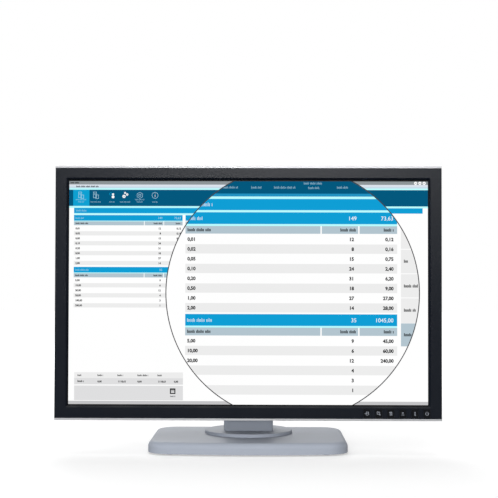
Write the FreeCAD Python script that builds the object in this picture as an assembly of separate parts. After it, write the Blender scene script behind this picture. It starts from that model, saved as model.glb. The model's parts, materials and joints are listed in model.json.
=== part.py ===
import FreeCAD, Part

# Widescreen desktop monitor for a till or back office: an LCD head with its panel, boards and six front
# keys, on a stand that tilts, lifts and swivels. Millimetres, +Z up, +X to the viewer's right, and the
# viewer on the -Y side. The origin is on the table, under the middle of the base. The head is drawn in
# its lowest position, and "depth" means the distance behind the front face of the head.
import math
import os

V = FreeCAD.Vector

# ---- Fits
slack = 0.3                    # between fixed pieces that are slid together
running = 0.05                 # radial, between a shaft and its bore
key_gap = 0.2                  # round a key in its slot
screw_gap = 0.15               # radial, round a screw's shank

# ---- Screen panel
active_width = 518.4           # lit area of a 24 inch 16:10 panel
active_height = 324.0
glass_border = 7.0             # glass beyond the lit area, each side
glass_thickness = 2.0
panel_side_margin = 11.0       # panel beyond the lit area, left and right
panel_end_margin = 10.0        # panel beyond the lit area, top and bottom
frame_skin = 0.8               # sheet steel of the front frame
frame_window_margin = 2.6      # steel frame's window beyond the lit area
ledge_thickness = 1.0          # step that carries the glass
ledge_margin = 2.0             # step's opening beyond the lit area
sheet_thickness = 0.35
sheet_count = 3
guide_thickness = 7.0
reflector_thickness = 0.55
pan_thickness = 1.0
lamp_housing_height = 6.5
lamp_housing_wall = 0.5
lamp_radius = 1.5
lamp_end_gap = 0.6
lamp_gap = 0.3                 # between a lamp and its housing

# ---- Front bezel
bezel_side = 19.8              # head beyond the lit area, left and right
bezel_top = 20.9               # head above the lit area, trim included
bezel_bottom = 22.1
bezel_face = 3.0               # front wall
bezel_wall = 1.6               # side walls
bezel_depth = 18.0
bezel_corner = 1.2
bezel_edge_round = 1.2
lip_margin = 1.3               # black glass seen round the lit area
lip_bevel = 2.4                # bevel round the window, as seen from the front
lip_depth = 2.0                # lip that presses on the panel
lip_wall = 2.4
trim_height = 3.0              # silver strips along the top and bottom
trim_round = 0.7

# ---- Front keys
key_count = 6
key_pitch = 17.3
key_last_x = 257.3             # middle of the power key
key_width = 9.4
key_top_land = 1.6             # bezel face between the keys and the bevel
key_proud = 0.4
key_wing = 1.2                 # wings that keep a key behind the face
key_wing_height = 6.0
key_wing_thickness = 1.0
key_post_radius = 1.3
key_travel = 0.6
switch_size = 4.2
switch_height = 3.0
switch_pip_radius = 1.0
switch_pip_height = 0.6
key_board_depth = 11.0
key_board_thickness = 1.6
key_board_end = 10.0           # board beyond the outer keys
rail_width = 2.0
rail_thickness = 1.5

# ---- Rear cover
cover_wall = 2.4
cover_inset = 0.4              # seam step behind the bezel
cover_straight = 16.0          # straight part of its sides
cover_back = 62.0              # depth of its flat back
cover_corner = 3.0
plateau_width = 430.0
plateau_height = 250.0
plateau_corner = 12.0
cover_lip_depth = 3.0
cover_lip_wall = 1.5
recess_size = 124.0
recess_depth = 7.0
bay_half_width = 160.0
bay_drop = 88.0                # bay's ceiling below the hinge
vent_width = 2.4
vent_pitch = 6.4
vent_share = 0.7               # vents' share of the flat back's width
vent_height = 34.0
vent_rise = 96.0               # middle of the vents above the hinge
slope_vent_rise = 144.0
slope_vent_height = 22.0
well_inset_x = 15.0            # wells in from the edges of the flat back
well_inset_z = 25.0
well_radius = 5.0
well_wall = 2.4
well_depth = 5.0
well_floor = 3.0
lock_slot_inset = 13.0
lock_slot_drop = 60.0
lock_slot_width = 7.0
lock_slot_height = 3.0

# ---- Chassis, boards and sockets
chassis_margin = 15.0          # panel beyond the chassis plate, each side
chassis_thickness = 1.2
post_radius = 5.0
screw_radius = 1.95            # M4
screw_head_radius = 3.8
screw_head_height = 2.4
screw_bite = 9.0               # shank inside its post
standoff_height = 6.0
standoff_radius = 3.0
standoff_inset = 6.0
board_thickness = 1.6
board_width = 135.0
board_height = 150.0
board_inner_x = 78.0           # edge of a board next to the mounting plate
shield_gap = 5.0
shield_wall = 0.8
shield_depth = 50.0
socket_proud = 3.0             # sockets beyond the bay's ceiling
inlet_x = -140.0
inlet_width = 28.0
inlet_depth = 22.0
inlet_height = 25.0
inlet_wall = 2.5
inlet_pin_width = 2.0
digital_socket_x = 104.0
digital_socket_width = 37.0
analogue_socket_x = 143.0
analogue_socket_width = 31.0
signal_socket_depth = 12.5
signal_socket_height = 16.0
signal_socket_wall = 1.0
signal_socket_mouth = 5.0
component_depth = 20.0         # tallest component on a board
fin_count = 6
fin_floor_share = 0.2
bracket_leg = 2.0              # legs of the mounting plate
bracket_foot = 10.0
vesa_pitch = 100.0
vesa_hole_radius = 2.0
vesa_nut_radius = 4.0
vesa_nut_height = 5.0

# ---- Stand bracket and tilt hinge
bracket_width = 76.0
bracket_height = 96.0
bracket_thickness = 2.5
hook_x = 24.0
hook_width = 10.0
hook_thickness = 2.8
hook_rise = 41.0
hook_lip_height = 4.5
hook_slot_height = 10.0
ear_thickness = 3.0
ear_radius = 10.0
hinge_depth = 72.0             # tilt axle behind the front face
axle_radius = 4.0
arm_half_width = 20.0
hinge_side_gap = 0.3
washer_radius = 9.0
washer_thickness = 1.5
nut_radius = 7.5
nut_thickness = 4.2
axle_end = 1.2
spring_pocket = 8.5            # half width of the pocket for the tilt spring
spring_wire = 0.8
spring_radius = 5.4
spring_pitch = 1.95
arm_web_height = 18.0
arm_flange_half_width = 20.0
arm_flange_height = 44.0
arm_flange_thickness = 4.0
arm_screw_x = 13.0
arm_screw_z = 16.0
arm_screw_radius = 2.45
arm_screw_head = 4.2
arm_screw_head_height = 2.2
release_width = 28.0
release_height = 8.0
release_depth = 6.0
release_gap = 4.5              # room for its travel under the bracket

# ---- Column
column_mid_y = 23.0            # the swivel axis stands here too
column_width = 74.0
column_depth = 46.0
column_wall = 2.5
column_round = 4.0
column_over_hinge = 40.0
column_split = 22.0            # depth of the front cover
hinge_to_column = 14.0
slot_gap = 1.5
seam_inset = 4.5
seam_width = 0.9
seam_depth = 0.6
collar_thickness = 2.0
collar_gap = 0.7
channel_half_width = 31.5
channel_wall = 2.0
channel_lip = 1.5
channel_front = 10.0           # channel behind the column's front face
channel_back = 40.0
foot_thickness = 3.0
foot_gap = 0.5
foot_screw_x = 20.0
foot_screw_y = 9.0
head_gap = 25.0                # head above the turntable at its lowest

# ---- Lift slider
slider_half_width = 27.5
slider_wall = 2.5
slider_front = 7.5             # slider behind the column's front face
slider_back = 37.5
slider_over_hinge = 34.0
slider_below_hinge = 130.0
crossbar_height = 8.0
glide_height = 14.0
glide_upper = 66.0             # top of the upper glides below the hinge
glide_gap = 0.1
cap_thickness = 3.0
cap_plug = 6.0
drum_rise = 8.0                # spring drum above the hinge at its lowest
drum_core_radius = 5.4
drum_coil_radius = 9.0
drum_width = 22.0
drum_axle_radius = 2.5
drum_ear = 2.0
drum_ear_half = 10.0
strip_thickness = 0.4
strip_width = 20.0
lock_radius = 6.0
lock_gap = 0.3
lock_flange = 1.6
lock_flange_thickness = 1.0
lock_proud = 3.0
lock_travel = 1.8
lock_pin_radius = 2.0
lock_over_crossbar = 2.5
clip_width = 28.0
clip_reach = 18.0
clip_height = 14.0
clip_wall = 2.6
clip_mouth = 9.0
clip_under_lock = 7.0          # room between the clip and the lock button

# ---- Base
base_width = 290.0
base_depth = 210.0
base_corner = 34.0
base_bow = 12.0                # how far its front edge bows out
base_height = 19.0
base_round = 8.0
base_wall = 2.5
foot_height = 2.5
foot_radius = 9.0
foot_x = 112.0
foot_y = 74.0
base_plate_thickness = 2.0
weight_width = 220.0
weight_depth = 150.0
weight_height = 7.5
weight_corner = 20.0
hub_radius = 56.0
glide_ring_thickness = 1.5
glide_ring_width = 30.0
turntable_gap = 0.3
turntable_plate = 2.5
turntable_radius = 66.0
turntable_wall = 2.5
bolt_radius = 6.0
bolt_head_radius = 9.0
bolt_head_height = 5.5
bolt_nut_radius = 9.5
bolt_nut_height = 4.0
bolt_end = 0.8
nut_pocket = 12.5

# ---- Components on the boards: place, width, height and depth, as shares of the board's and of the tallest
POWER_BLOCKS = ((-0.22, 0.2, 0.28, 0.21, 1.0), (0.26, 0.3, 0.19, 0.15, 0.8), (0.26, 0.1, 0.19, 0.15, 0.8),
                (-0.28, -0.31, 0.13, 0.11, 0.7))
POWER_CANS = ((-0.3, -0.08, 0.08, 1.0), (-0.07, -0.05, 0.06, 0.9), (0.07, -0.07, 0.045, 0.8),
              (0.2, -0.08, 0.045, 0.8))
POWER_SINKS = ((0.02, 0.38, 0.25, 0.055, 0.9), (0.3, -0.25, 0.3, 0.055, 0.9))
SIGNAL_BLOCKS = ((0.0, 0.12, 0.22, 0.2, 0.13), (-0.28, 0.2, 0.1, 0.12, 0.06), (-0.28, 0.04, 0.1, 0.12, 0.06),
                 (0.28, 0.27, 0.09, 0.07, 0.07), (0.0, 0.41, 0.3, 0.055, 0.25),
                 (-0.33, -0.17, 0.09, 0.035, 0.2))
SIGNAL_CANS = ((0.27, 0.03, 0.03, 0.4), (0.36, 0.03, 0.03, 0.4), (0.27, 0.12, 0.03, 0.4))

# ---- Worked out: heights of the stand
plate_z = foot_height
weight_z = plate_z + base_plate_thickness
turntable_z = base_height + turntable_gap
glide_ring_z = turntable_z - glide_ring_thickness
turntable_top = turntable_z + turntable_plate
base_top = turntable_top + turntable_wall

# ---- Worked out: the head
head_width = active_width + 2 * bezel_side
head_height = active_height + bezel_bottom + bezel_top
head_z = base_top + head_gap
hinge_z = head_z + head_height / 2
screen_z = head_z + bezel_bottom + active_height / 2
column_front_y = column_mid_y - column_depth / 2
column_back_y = column_mid_y + column_depth / 2
hinge_y = column_front_y - hinge_to_column
front_y = hinge_y - hinge_depth

panel_width = active_width + 2 * panel_side_margin
panel_height = active_height + 2 * panel_end_margin
glass_width = active_width + 2 * glass_border
glass_height = active_height + 2 * glass_border
guide_height = glass_height - 2 * lamp_housing_height
window_width = active_width + 2 * lip_margin
window_height = active_height + 2 * lip_margin
bezel_height = head_height - 2 * trim_height
bezel_floor = head_z + trim_height + bezel_wall

panel_depth = bezel_face + lip_depth
glass_depth = panel_depth + frame_skin
ledge_depth = glass_depth + glass_thickness
sheets_depth = ledge_depth + ledge_thickness
guide_depth = sheets_depth + sheet_count * sheet_thickness
reflector_depth = guide_depth + guide_thickness
pan_depth = reflector_depth + reflector_thickness
chassis_depth = pan_depth + pan_thickness
chassis_back = chassis_depth + chassis_thickness
board_depth = chassis_back + standoff_height
board_back = board_depth + board_thickness
knee_depth = bezel_depth + cover_straight
recess_floor = cover_back - recess_depth
well_x = plateau_width / 2 - well_inset_x
well_z = plateau_height / 2 - well_inset_z
lock_slot_x = plateau_width / 2 - lock_slot_inset
vent_count = int(vent_share * plateau_width / vent_pitch)
bracket_back = recess_floor + bracket_thickness
well_seat = cover_back - well_depth
post_top = well_seat - well_floor
bay_floor_depth = board_depth
bay_ceiling = hinge_z - bay_drop

# ---- Worked out: keys, column and slider
key_low = bezel_floor + key_gap
key_high = head_z + bezel_bottom - lip_margin - lip_bevel - key_top_land
switch_z = key_low + key_wing_height / 2
column_top = hinge_z + column_over_hinge
channel_top = column_top - collar_thickness - slack
channel_y0 = column_front_y + channel_front
channel_y1 = column_front_y + channel_back
slider_y0 = column_front_y + slider_front
slider_y1 = column_front_y + slider_back
slider_low = hinge_z - slider_below_hinge
slider_top = hinge_z + slider_over_hinge
drum_z = hinge_z + drum_rise
drum_y = slider_y0 + slider_wall + drum_coil_radius + strip_thickness + 4.0
arm_slot_half = arm_flange_half_width + slot_gap
lock_z = slider_low + crossbar_height + lock_over_crossbar
clip_z = lock_z - lock_radius - clip_under_lock - clip_height
turntable_rim = turntable_radius - turntable_wall


# ---- Shapes that are used many times

def at(depth):
    """The Y of a depth behind the head's front face."""
    return front_y + depth


def block(x0, x1, y0, y1, z0, z1):
    """A block between two corners."""
    return Part.makeBox(x1 - x0, y1 - y0, z1 - z0, V(x0, y0, z0))


def middle_block(half_x, y0, y1, z0, z1):
    """A block that is even about the middle plane."""
    return block(-half_x, half_x, y0, y1, z0, z1)


def rod_x(radius, x0, x1, y, z):
    """A round bar along X."""
    return Part.makeCylinder(radius, x1 - x0, V(x0, y, z), V(1, 0, 0))


def rod_y(radius, y0, y1, x, z):
    """A round bar along Y."""
    return Part.makeCylinder(radius, y1 - y0, V(x, y0, z), V(0, 1, 0))


def rod_z(radius, z0, z1, x, y):
    """A round bar along Z."""
    return Part.makeCylinder(radius, z1 - z0, V(x, y, z0), V(0, 0, 1))


def outline(width, height, y, corner, mid_x=0.0, mid_z=0.0):
    """A rounded rectangle that faces the viewer, as a wire at one Y."""
    half_w = width / 2 - corner
    half_h = height / 2 - corner
    diagonal = corner * math.sqrt(0.5)
    edges = []
    for turn, (side_x, side_z) in enumerate(((1, 1), (-1, 1), (-1, -1), (1, -1))):
        centre = V(mid_x + side_x * half_w, y, mid_z + side_z * half_h)
        flat_x = V(side_x * corner, 0, 0)
        flat_z = V(0, 0, side_z * corner)
        first, last = (flat_x, flat_z) if turn % 2 == 0 else (flat_z, flat_x)
        through = V(side_x * diagonal, 0, side_z * diagonal)
        edges.append(Part.Arc(centre + first, centre + through, centre + last).toShape())
    joined = []
    for index, arc in enumerate(edges):
        following = edges[(index + 1) % len(edges)]
        joined.append(arc)
        joined.append(Part.makeLine(arc.Vertexes[-1].Point, following.Vertexes[0].Point))
    return Part.Wire(joined)


def slab(width, height, y0, y1, mid_z, corner=0.0, mid_x=0.0):
    """A plate that faces the viewer, from one Y to another, with rounded corners if asked."""
    if corner <= 0:
        return block(mid_x - width / 2, mid_x + width / 2, y0, y1, mid_z - height / 2, mid_z + height / 2)
    face = Part.Face(outline(width, height, y0, corner, mid_x, mid_z))
    return face.extrude(V(0, y1 - y0, 0))


def both_sides(shape):
    """A shape and its mirror image across the middle plane."""
    return [shape, shape.mirror(V(0, 0, 0), V(1, 0, 0))]


def joined(shapes):
    """Pieces that touch, made one solid."""
    return shapes[0].fuse(shapes[1:]).removeSplitter()


def corner_spots(reach_x, reach_z, mid_x=0.0, mid_z=0.0):
    """The four corners of a rectangle."""
    return [(mid_x + sx * reach_x, mid_z + sz * reach_z) for sz in (-1, 1) for sx in (-1, 1)]


def vertical_edges(solid, picked):
    """The solid's straight edges along Z whose middle passes a test."""
    found = []
    for edge in solid.Edges:
        ends = [v.Point for v in edge.Vertexes]
        if len(ends) == 2 and abs(ends[0].x - ends[1].x) < 1e-6 and abs(ends[0].y - ends[1].y) < 1e-6:
            if picked((ends[0] + ends[1]) * 0.5):
                found.append(edge)
    return found


# ---- Screen panel

def panel_front_frame():
    """Sheet-steel frame that wraps the panel's front edge and sides."""
    shell = slab(panel_width, panel_height, at(panel_depth), at(pan_depth), screen_z)
    inside = slab(panel_width - 2 * frame_skin, panel_height - 2 * frame_skin, at(glass_depth),
                  at(pan_depth), screen_z)
    window = slab(active_width + 2 * frame_window_margin, active_height + 2 * frame_window_margin,
                  at(panel_depth), at(glass_depth), screen_z)
    return shell.cut([inside, window])


def panel_mid_frame():
    """White moulded frame that centres the glass and the backlight."""
    ring = slab(panel_width - 2 * frame_skin, panel_height - 2 * frame_skin, at(glass_depth),
                at(pan_depth), screen_z)
    pocket_width = glass_width + 2 * slack
    pocket_height = glass_height + 2 * slack
    glass_pocket = slab(pocket_width, pocket_height, at(glass_depth), at(ledge_depth), screen_z)
    opening = slab(active_width + 2 * ledge_margin, active_height + 2 * ledge_margin, at(ledge_depth),
                   at(sheets_depth), screen_z)
    light_pocket = slab(pocket_width, pocket_height, at(sheets_depth), at(pan_depth), screen_z)
    return ring.cut([glass_pocket, opening, light_pocket])


def lcd_glass():
    """The two glass plates with their polarisers, as one pane."""
    return slab(glass_width, glass_height, at(glass_depth), at(ledge_depth), screen_z)


def optical_sheets():
    """Diffuser and prism films, one behind the other."""
    return [slab(glass_width, guide_height, at(sheets_depth + n * sheet_thickness),
                 at(sheets_depth + (n + 1) * sheet_thickness), screen_z) for n in range(sheet_count)]


def light_guide():
    """Clear acrylic plate that spreads the lamps' light, with its white reflector film behind."""
    return [slab(glass_width, guide_height, at(guide_depth), at(reflector_depth), screen_z),
            slab(glass_width, guide_height, at(reflector_depth), at(pan_depth), screen_z)]


def lamp_housings():
    """Bent reflectors round the lamps, along the top and bottom of the light guide."""
    housings = []
    for side in (-1, 1):
        guide_edge = screen_z + side * guide_height / 2
        far_edge = screen_z + side * glass_height / 2
        low, high = sorted((guide_edge, far_edge))
        shell = middle_block(glass_width / 2, at(sheets_depth), at(pan_depth), low, high)
        inner_low = low if side > 0 else low + lamp_housing_wall
        inner_high = high if side < 0 else high - lamp_housing_wall
        inside = middle_block(glass_width / 2, at(sheets_depth) + lamp_housing_wall,
                              at(pan_depth) - lamp_housing_wall, inner_low, inner_high)
        housings.append(shell.cut(inside))
    return housings


def backlight_lamps():
    """Four thin fluorescent tubes, two along each edge."""
    room = pan_depth - sheets_depth
    half = glass_width / 2 - lamp_end_gap
    lift = glass_height / 2 - lamp_housing_wall - lamp_gap - lamp_radius
    return [rod_x(lamp_radius, -half, half, at(sheets_depth + room * share), screen_z + side * lift)
            for side in (-1, 1) for share in (0.3, 0.7)]


def panel_back_pan():
    """Sheet-steel pan that closes the back of the panel."""
    return slab(panel_width, panel_height, at(pan_depth), at(chassis_depth), screen_z)


# ---- Bezel and keys

def key_xs():
    """The middles of the six keys, from left to right."""
    return [key_last_x - key_pitch * (key_count - 1 - n) for n in range(key_count)]


def key_board_span():
    """The left and right ends of the key board."""
    return key_xs()[0] - key_board_end, key_xs()[-1] + key_board_end


def front_bezel():
    """Black frame round the screen, with its bevelled window, key slots and key board rails."""
    mid_z = head_z + head_height / 2
    body = slab(head_width, bezel_height, at(0), at(bezel_depth), mid_z)
    front = vertical_edges(body, lambda p: abs(p.y - at(0)) < 1e-6)
    body = body.makeFillet(min(bezel_edge_round, bezel_wall * 0.9), front)
    hollow = slab(head_width - 2 * bezel_wall, bezel_height - 2 * bezel_wall, at(bezel_face),
                  at(bezel_depth), mid_z)
    lip = slab(window_width + 2 * lip_wall, window_height + 2 * lip_wall, at(bezel_face),
               at(panel_depth), screen_z)
    board_x0, board_x1 = key_board_span()
    rails = []
    for x in (board_x0 + rail_width, board_x1 - 2 * rail_width):
        for y in (key_board_depth - rail_thickness, key_board_depth + key_board_thickness):
            rails.append(block(x, x + rail_width, at(y), at(y + rail_thickness), bezel_floor, switch_z))
    body = joined([body.cut(hollow), lip] + rails)
    window = slab(window_width, window_height, at(0), at(panel_depth), screen_z)
    wide = outline(window_width + 2 * lip_bevel, window_height + 2 * lip_bevel, at(0), bezel_corner,
                   mid_z=screen_z)
    narrow = outline(window_width, window_height, at(bezel_face), bezel_corner, mid_z=screen_z)
    bevel = Part.makeLoft([wide, narrow], True, True)
    slots = [block(x - key_width / 2 - key_gap, x + key_width / 2 + key_gap, at(0), at(bezel_face),
                   key_low - key_gap, key_high + key_gap) for x in key_xs()]
    return body.cut([window, bevel] + slots)


def bezel_trims():
    """Silver strips along the top and the bottom of the bezel."""
    strips = []
    for low in (head_z, head_z + head_height - trim_height):
        strip = middle_block(head_width / 2, at(0), at(bezel_depth), low, low + trim_height)
        edges = [e for e in strip.Edges if all(abs(v.Point.y - at(0)) < 1e-6 for v in e.Vertexes)]
        outer_z = low if low == head_z else low + trim_height
        outer = [e for e in edges if all(abs(v.Point.z - outer_z) < 1e-6 for v in e.Vertexes)]
        strips.append(strip.makeFillet(min(trim_round, trim_height * 0.4), outer))
    return strips


def front_key(x):
    """One key: a cap in its slot, wings behind the face, and a post that meets its switch."""
    cap = block(x - key_width / 2, x + key_width / 2, at(-key_proud), at(bezel_face) + key_gap / 2,
                key_low, key_high)
    wing_y = at(bezel_face) + key_gap / 2
    wings = block(x - key_width / 2 - key_wing, x + key_width / 2 + key_wing, wing_y,
                  wing_y + key_wing_thickness, key_low, key_low + key_wing_height)
    pip_y = at(key_board_depth - switch_height - switch_pip_height)
    post = rod_y(key_post_radius, wing_y, pip_y - key_travel - running, x, switch_z)
    return joined([cap, wings, post])


def key_board():
    """Narrow circuit board behind the keys, with a small switch for each."""
    x0, x1 = key_board_span()
    board_top = min(panel_bottom() - slack, switch_z + switch_size)
    board = block(x0, x1, at(key_board_depth), at(key_board_depth + key_board_thickness), bezel_floor,
                  board_top)
    pieces = [board]
    for x in key_xs():
        body_y = at(key_board_depth - switch_height)
        body = block(x - switch_size / 2, x + switch_size / 2, body_y, at(key_board_depth),
                     switch_z - switch_size / 2, switch_z + switch_size / 2)
        pip = rod_y(switch_pip_radius, body_y - switch_pip_height, body_y, x, switch_z)
        pieces.append(joined([body, pip]))
    return pieces


def panel_bottom():
    """The height of the panel's lower edge."""
    return screen_z - panel_height / 2


# ---- Chassis, boards and sockets

def board_mid_x(side):
    """The middle of the board on one side, -1 for power and 1 for signals."""
    return side * (board_inner_x + board_width / 2)


def chassis_plate():
    """Steel plate that carries the boards on standoffs, with four posts for the cover screws."""
    plate = slab(panel_width - 2 * chassis_margin, panel_height - 2 * chassis_margin, at(chassis_depth),
                 at(chassis_back), screen_z)
    added = [rod_y(post_radius, at(chassis_depth), at(post_top), x, z)
             for x, z in corner_spots(well_x, well_z, mid_z=hinge_z)]
    for side in (-1, 1):
        spots = corner_spots(board_width / 2 - standoff_inset, board_height / 2 - standoff_inset,
                             board_mid_x(side), hinge_z)
        added += [rod_y(standoff_radius, at(chassis_depth), at(board_depth), x, z) for x, z in spots]
    holes = [rod_y(screw_radius + screw_gap, at(post_top - screw_bite - 1), at(post_top), x, z)
             for x, z in corner_spots(well_x, well_z, mid_z=hinge_z)]
    return joined([plate] + added).cut(holes)


def circuit_board(side):
    """One of the two circuit boards."""
    return slab(board_width, board_height, at(board_depth), at(board_back), hinge_z,
                mid_x=board_mid_x(side))


def on_board(side, place):
    """A block on the back of a board, from its place and size as shares of the board's."""
    share_x, share_z, share_width, share_height, share_depth = place
    x = board_mid_x(side) + share_x * board_width
    z = hinge_z + share_z * board_height
    half_x = share_width * board_width / 2
    half_z = share_height * board_height / 2
    return block(x - half_x, x + half_x, at(board_back), at(board_back + share_depth * component_depth),
                 z - half_z, z + half_z)


def can_on_board(side, place):
    """A round can on the back of a board, from its place and size as shares of the board's."""
    share_x, share_z, share_radius, share_depth = place
    return rod_y(share_radius * board_width, at(board_back), at(board_back + share_depth * component_depth),
                 board_mid_x(side) + share_x * board_width, hinge_z + share_z * board_height)


def heat_sink(side, place):
    """A finned aluminium heat sink on the back of a board."""
    share_x, share_z, share_width, share_height, share_depth = place
    floor = (share_x, share_z, share_width, share_height, share_depth * fin_floor_share)
    pitch = share_width / (2 * fin_count - 1)
    blades = []
    for n in range(fin_count):
        middle = share_x - share_width / 2 + (2 * n + 0.5) * pitch
        blades.append(on_board(side, (middle, share_z, pitch, share_height, share_depth)))
    return joined([on_board(side, floor)] + blades)


def power_components():
    """Transformers, capacitors, coils and heat sinks of the power and lamp supply."""
    pieces = [on_board(-1, place) for place in POWER_BLOCKS]
    pieces += [can_on_board(-1, place) for place in POWER_CANS]
    return pieces + [heat_sink(-1, place) for place in POWER_SINKS]


def signal_components():
    """Picture processor, memory, connectors and capacitors of the signal board."""
    pieces = [on_board(1, place) for place in SIGNAL_BLOCKS]
    return pieces + [can_on_board(1, place) for place in SIGNAL_CANS]


def board_shield():
    """Sheet-steel box over the signal board, open at its foot for the sockets."""
    low_x = board_inner_x - shield_gap
    high_x = board_inner_x + board_width + shield_gap
    half = board_height / 2 + shield_gap
    shell = block(low_x, high_x, at(chassis_back), at(shield_depth), hinge_z - half, hinge_z + half)
    inside = block(low_x + shield_wall, high_x - shield_wall, at(chassis_back),
                   at(shield_depth - shield_wall), hinge_z - half + shield_wall,
                   hinge_z + half - shield_wall)
    cuts = [inside]
    for x, width in ((digital_socket_x, digital_socket_width), (analogue_socket_x, analogue_socket_width)):
        cuts.append(block(x - width / 2 - slack, x + width / 2 + slack, at(chassis_back),
                          at(board_back + signal_socket_depth) + slack, hinge_z - half,
                          hinge_z - half + shield_wall))
    rows = 4
    columns = 12
    for row in range(rows):
        for column in range(columns):
            x = low_x + (high_x - low_x) * (column + 1) / (columns + 1)
            z = hinge_z + half * (row + 0.5 - rows / 2) / rows
            cuts.append(block(x - 1.5, x + 1.5, at(shield_depth - shield_wall), at(shield_depth), z - 6,
                              z + 6))
    return shell.cut(cuts)


def power_inlet():
    """Mains inlet that faces down into the cable bay, with three flat pins."""
    y0 = at(board_back)
    low = bay_ceiling - socket_proud
    body = block(inlet_x - inlet_width / 2, inlet_x + inlet_width / 2, y0, y0 + inlet_depth, low,
                 low + inlet_height)
    cavity = block(inlet_x - inlet_width / 2 + inlet_wall, inlet_x + inlet_width / 2 - inlet_wall,
                   y0 + inlet_wall, y0 + inlet_depth - inlet_wall, low, low + inlet_height * 0.68)
    pins = []
    for dx, dy in ((-7.0, -2.0), (0.0, 2.0), (7.0, -2.0)):
        x = inlet_x + dx
        y = y0 + inlet_depth / 2 + dy
        pins.append(block(x - inlet_pin_width / 2, x + inlet_pin_width / 2, y - inlet_pin_width,
                          y + inlet_pin_width, low + 2.0, low + inlet_height * 0.7))
    return joined([body.cut(cavity)] + pins)


def signal_sockets():
    """Digital and analogue video sockets that face down into the cable bay."""
    sockets = []
    for x, width in ((digital_socket_x, digital_socket_width), (analogue_socket_x, analogue_socket_width)):
        y0 = at(board_back)
        low = bay_ceiling - socket_proud
        body = block(x - width / 2, x + width / 2, y0, y0 + signal_socket_depth, low,
                     low + signal_socket_height)
        mouth = block(x - width / 2 + 2 * signal_socket_wall, x + width / 2 - 2 * signal_socket_wall,
                      y0 + 2 * signal_socket_wall, y0 + signal_socket_depth - 2 * signal_socket_wall, low,
                      low + signal_socket_mouth)
        core = block(x - width / 2 + 5 * signal_socket_wall, x + width / 2 - 5 * signal_socket_wall,
                     y0 + 4 * signal_socket_wall, y0 + signal_socket_depth - 4 * signal_socket_wall, low,
                     low + signal_socket_mouth)
        sockets.append(body.cut(mouth).fuse(core).removeSplitter())
    return sockets


def vesa_plate():
    """Steel mounting plate in the recess: four threaded holes, and two slots for the stand's hooks."""
    size = recess_size + 2 * cover_wall + 2 * slack
    plate = slab(size, size, at(recess_floor - bracket_leg), at(recess_floor), hinge_z)
    leg = block(size / 2 - bracket_leg, size / 2, at(chassis_back), at(recess_floor), hinge_z - size / 2,
                hinge_z + size / 2)
    foot = block(size / 2 - bracket_leg, size / 2 + bracket_foot, at(chassis_back),
                 at(chassis_back + bracket_leg), hinge_z - size / 2, hinge_z + size / 2)
    inner_foot_x = min(size / 2 + bracket_foot, board_inner_x - shield_gap - slack)
    foot = foot.common(middle_block(inner_foot_x, at(0), at(cover_back), head_z, head_z + head_height))
    body = joined([plate] + both_sides(leg) + both_sides(foot))
    holes = [rod_y(vesa_hole_radius, at(recess_floor - bracket_leg), at(recess_floor), x, z)
             for x, z in corner_spots(vesa_pitch / 2, vesa_pitch / 2, mid_z=hinge_z)]
    slot_top = hinge_z + hook_rise + hook_thickness + slack
    slots = [block(x - hook_width / 2 - slack, x + hook_width / 2 + slack,
                   at(recess_floor - bracket_leg), at(recess_floor), slot_top - hook_slot_height, slot_top)
             for x in (-hook_x, hook_x)]
    nuts = [rod_y(vesa_nut_radius, at(recess_floor - bracket_leg - vesa_nut_height),
                  at(recess_floor - bracket_leg), x, z).cut(
            rod_y(vesa_hole_radius, at(recess_floor - bracket_leg - vesa_nut_height),
                  at(recess_floor - bracket_leg), x, z))
            for x, z in corner_spots(vesa_pitch / 2, vesa_pitch / 2, mid_z=hinge_z)]
    return [body.cut(holes + slots)] + nuts


# ---- Rear cover

def cover_loft(inset, front_depth, back_depth):
    """The cover's outer form, or the hollow inside it when inset."""
    mid_z = head_z + head_height / 2
    wide = head_width - 2 * (cover_inset + inset)
    high = head_height - 2 * (cover_inset + inset)
    sides = [outline(wide, high, at(depth), cover_corner, mid_z=mid_z) for depth in (front_depth, knee_depth)]
    back = outline(plateau_width - 2 * inset, plateau_height - 2 * inset, at(back_depth), plateau_corner,
                   mid_z=mid_z)
    skirt = Part.makeLoft(sides, True, True)
    slope = Part.makeLoft([sides[1], back], True, True)
    return joined([skirt, slope])


def cover_vents():
    """Rows of upright vent slots across the upper back."""
    slots = []
    for rise, height in ((vent_rise, vent_height), (slope_vent_rise, slope_vent_height)):
        for n in range(vent_count):
            x = (n - (vent_count - 1) / 2) * vent_pitch
            slots.append(slab(vent_width, height, at(bezel_depth + cover_lip_depth), at(cover_back),
                              hinge_z + rise, mid_x=x))
    return slots


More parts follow.
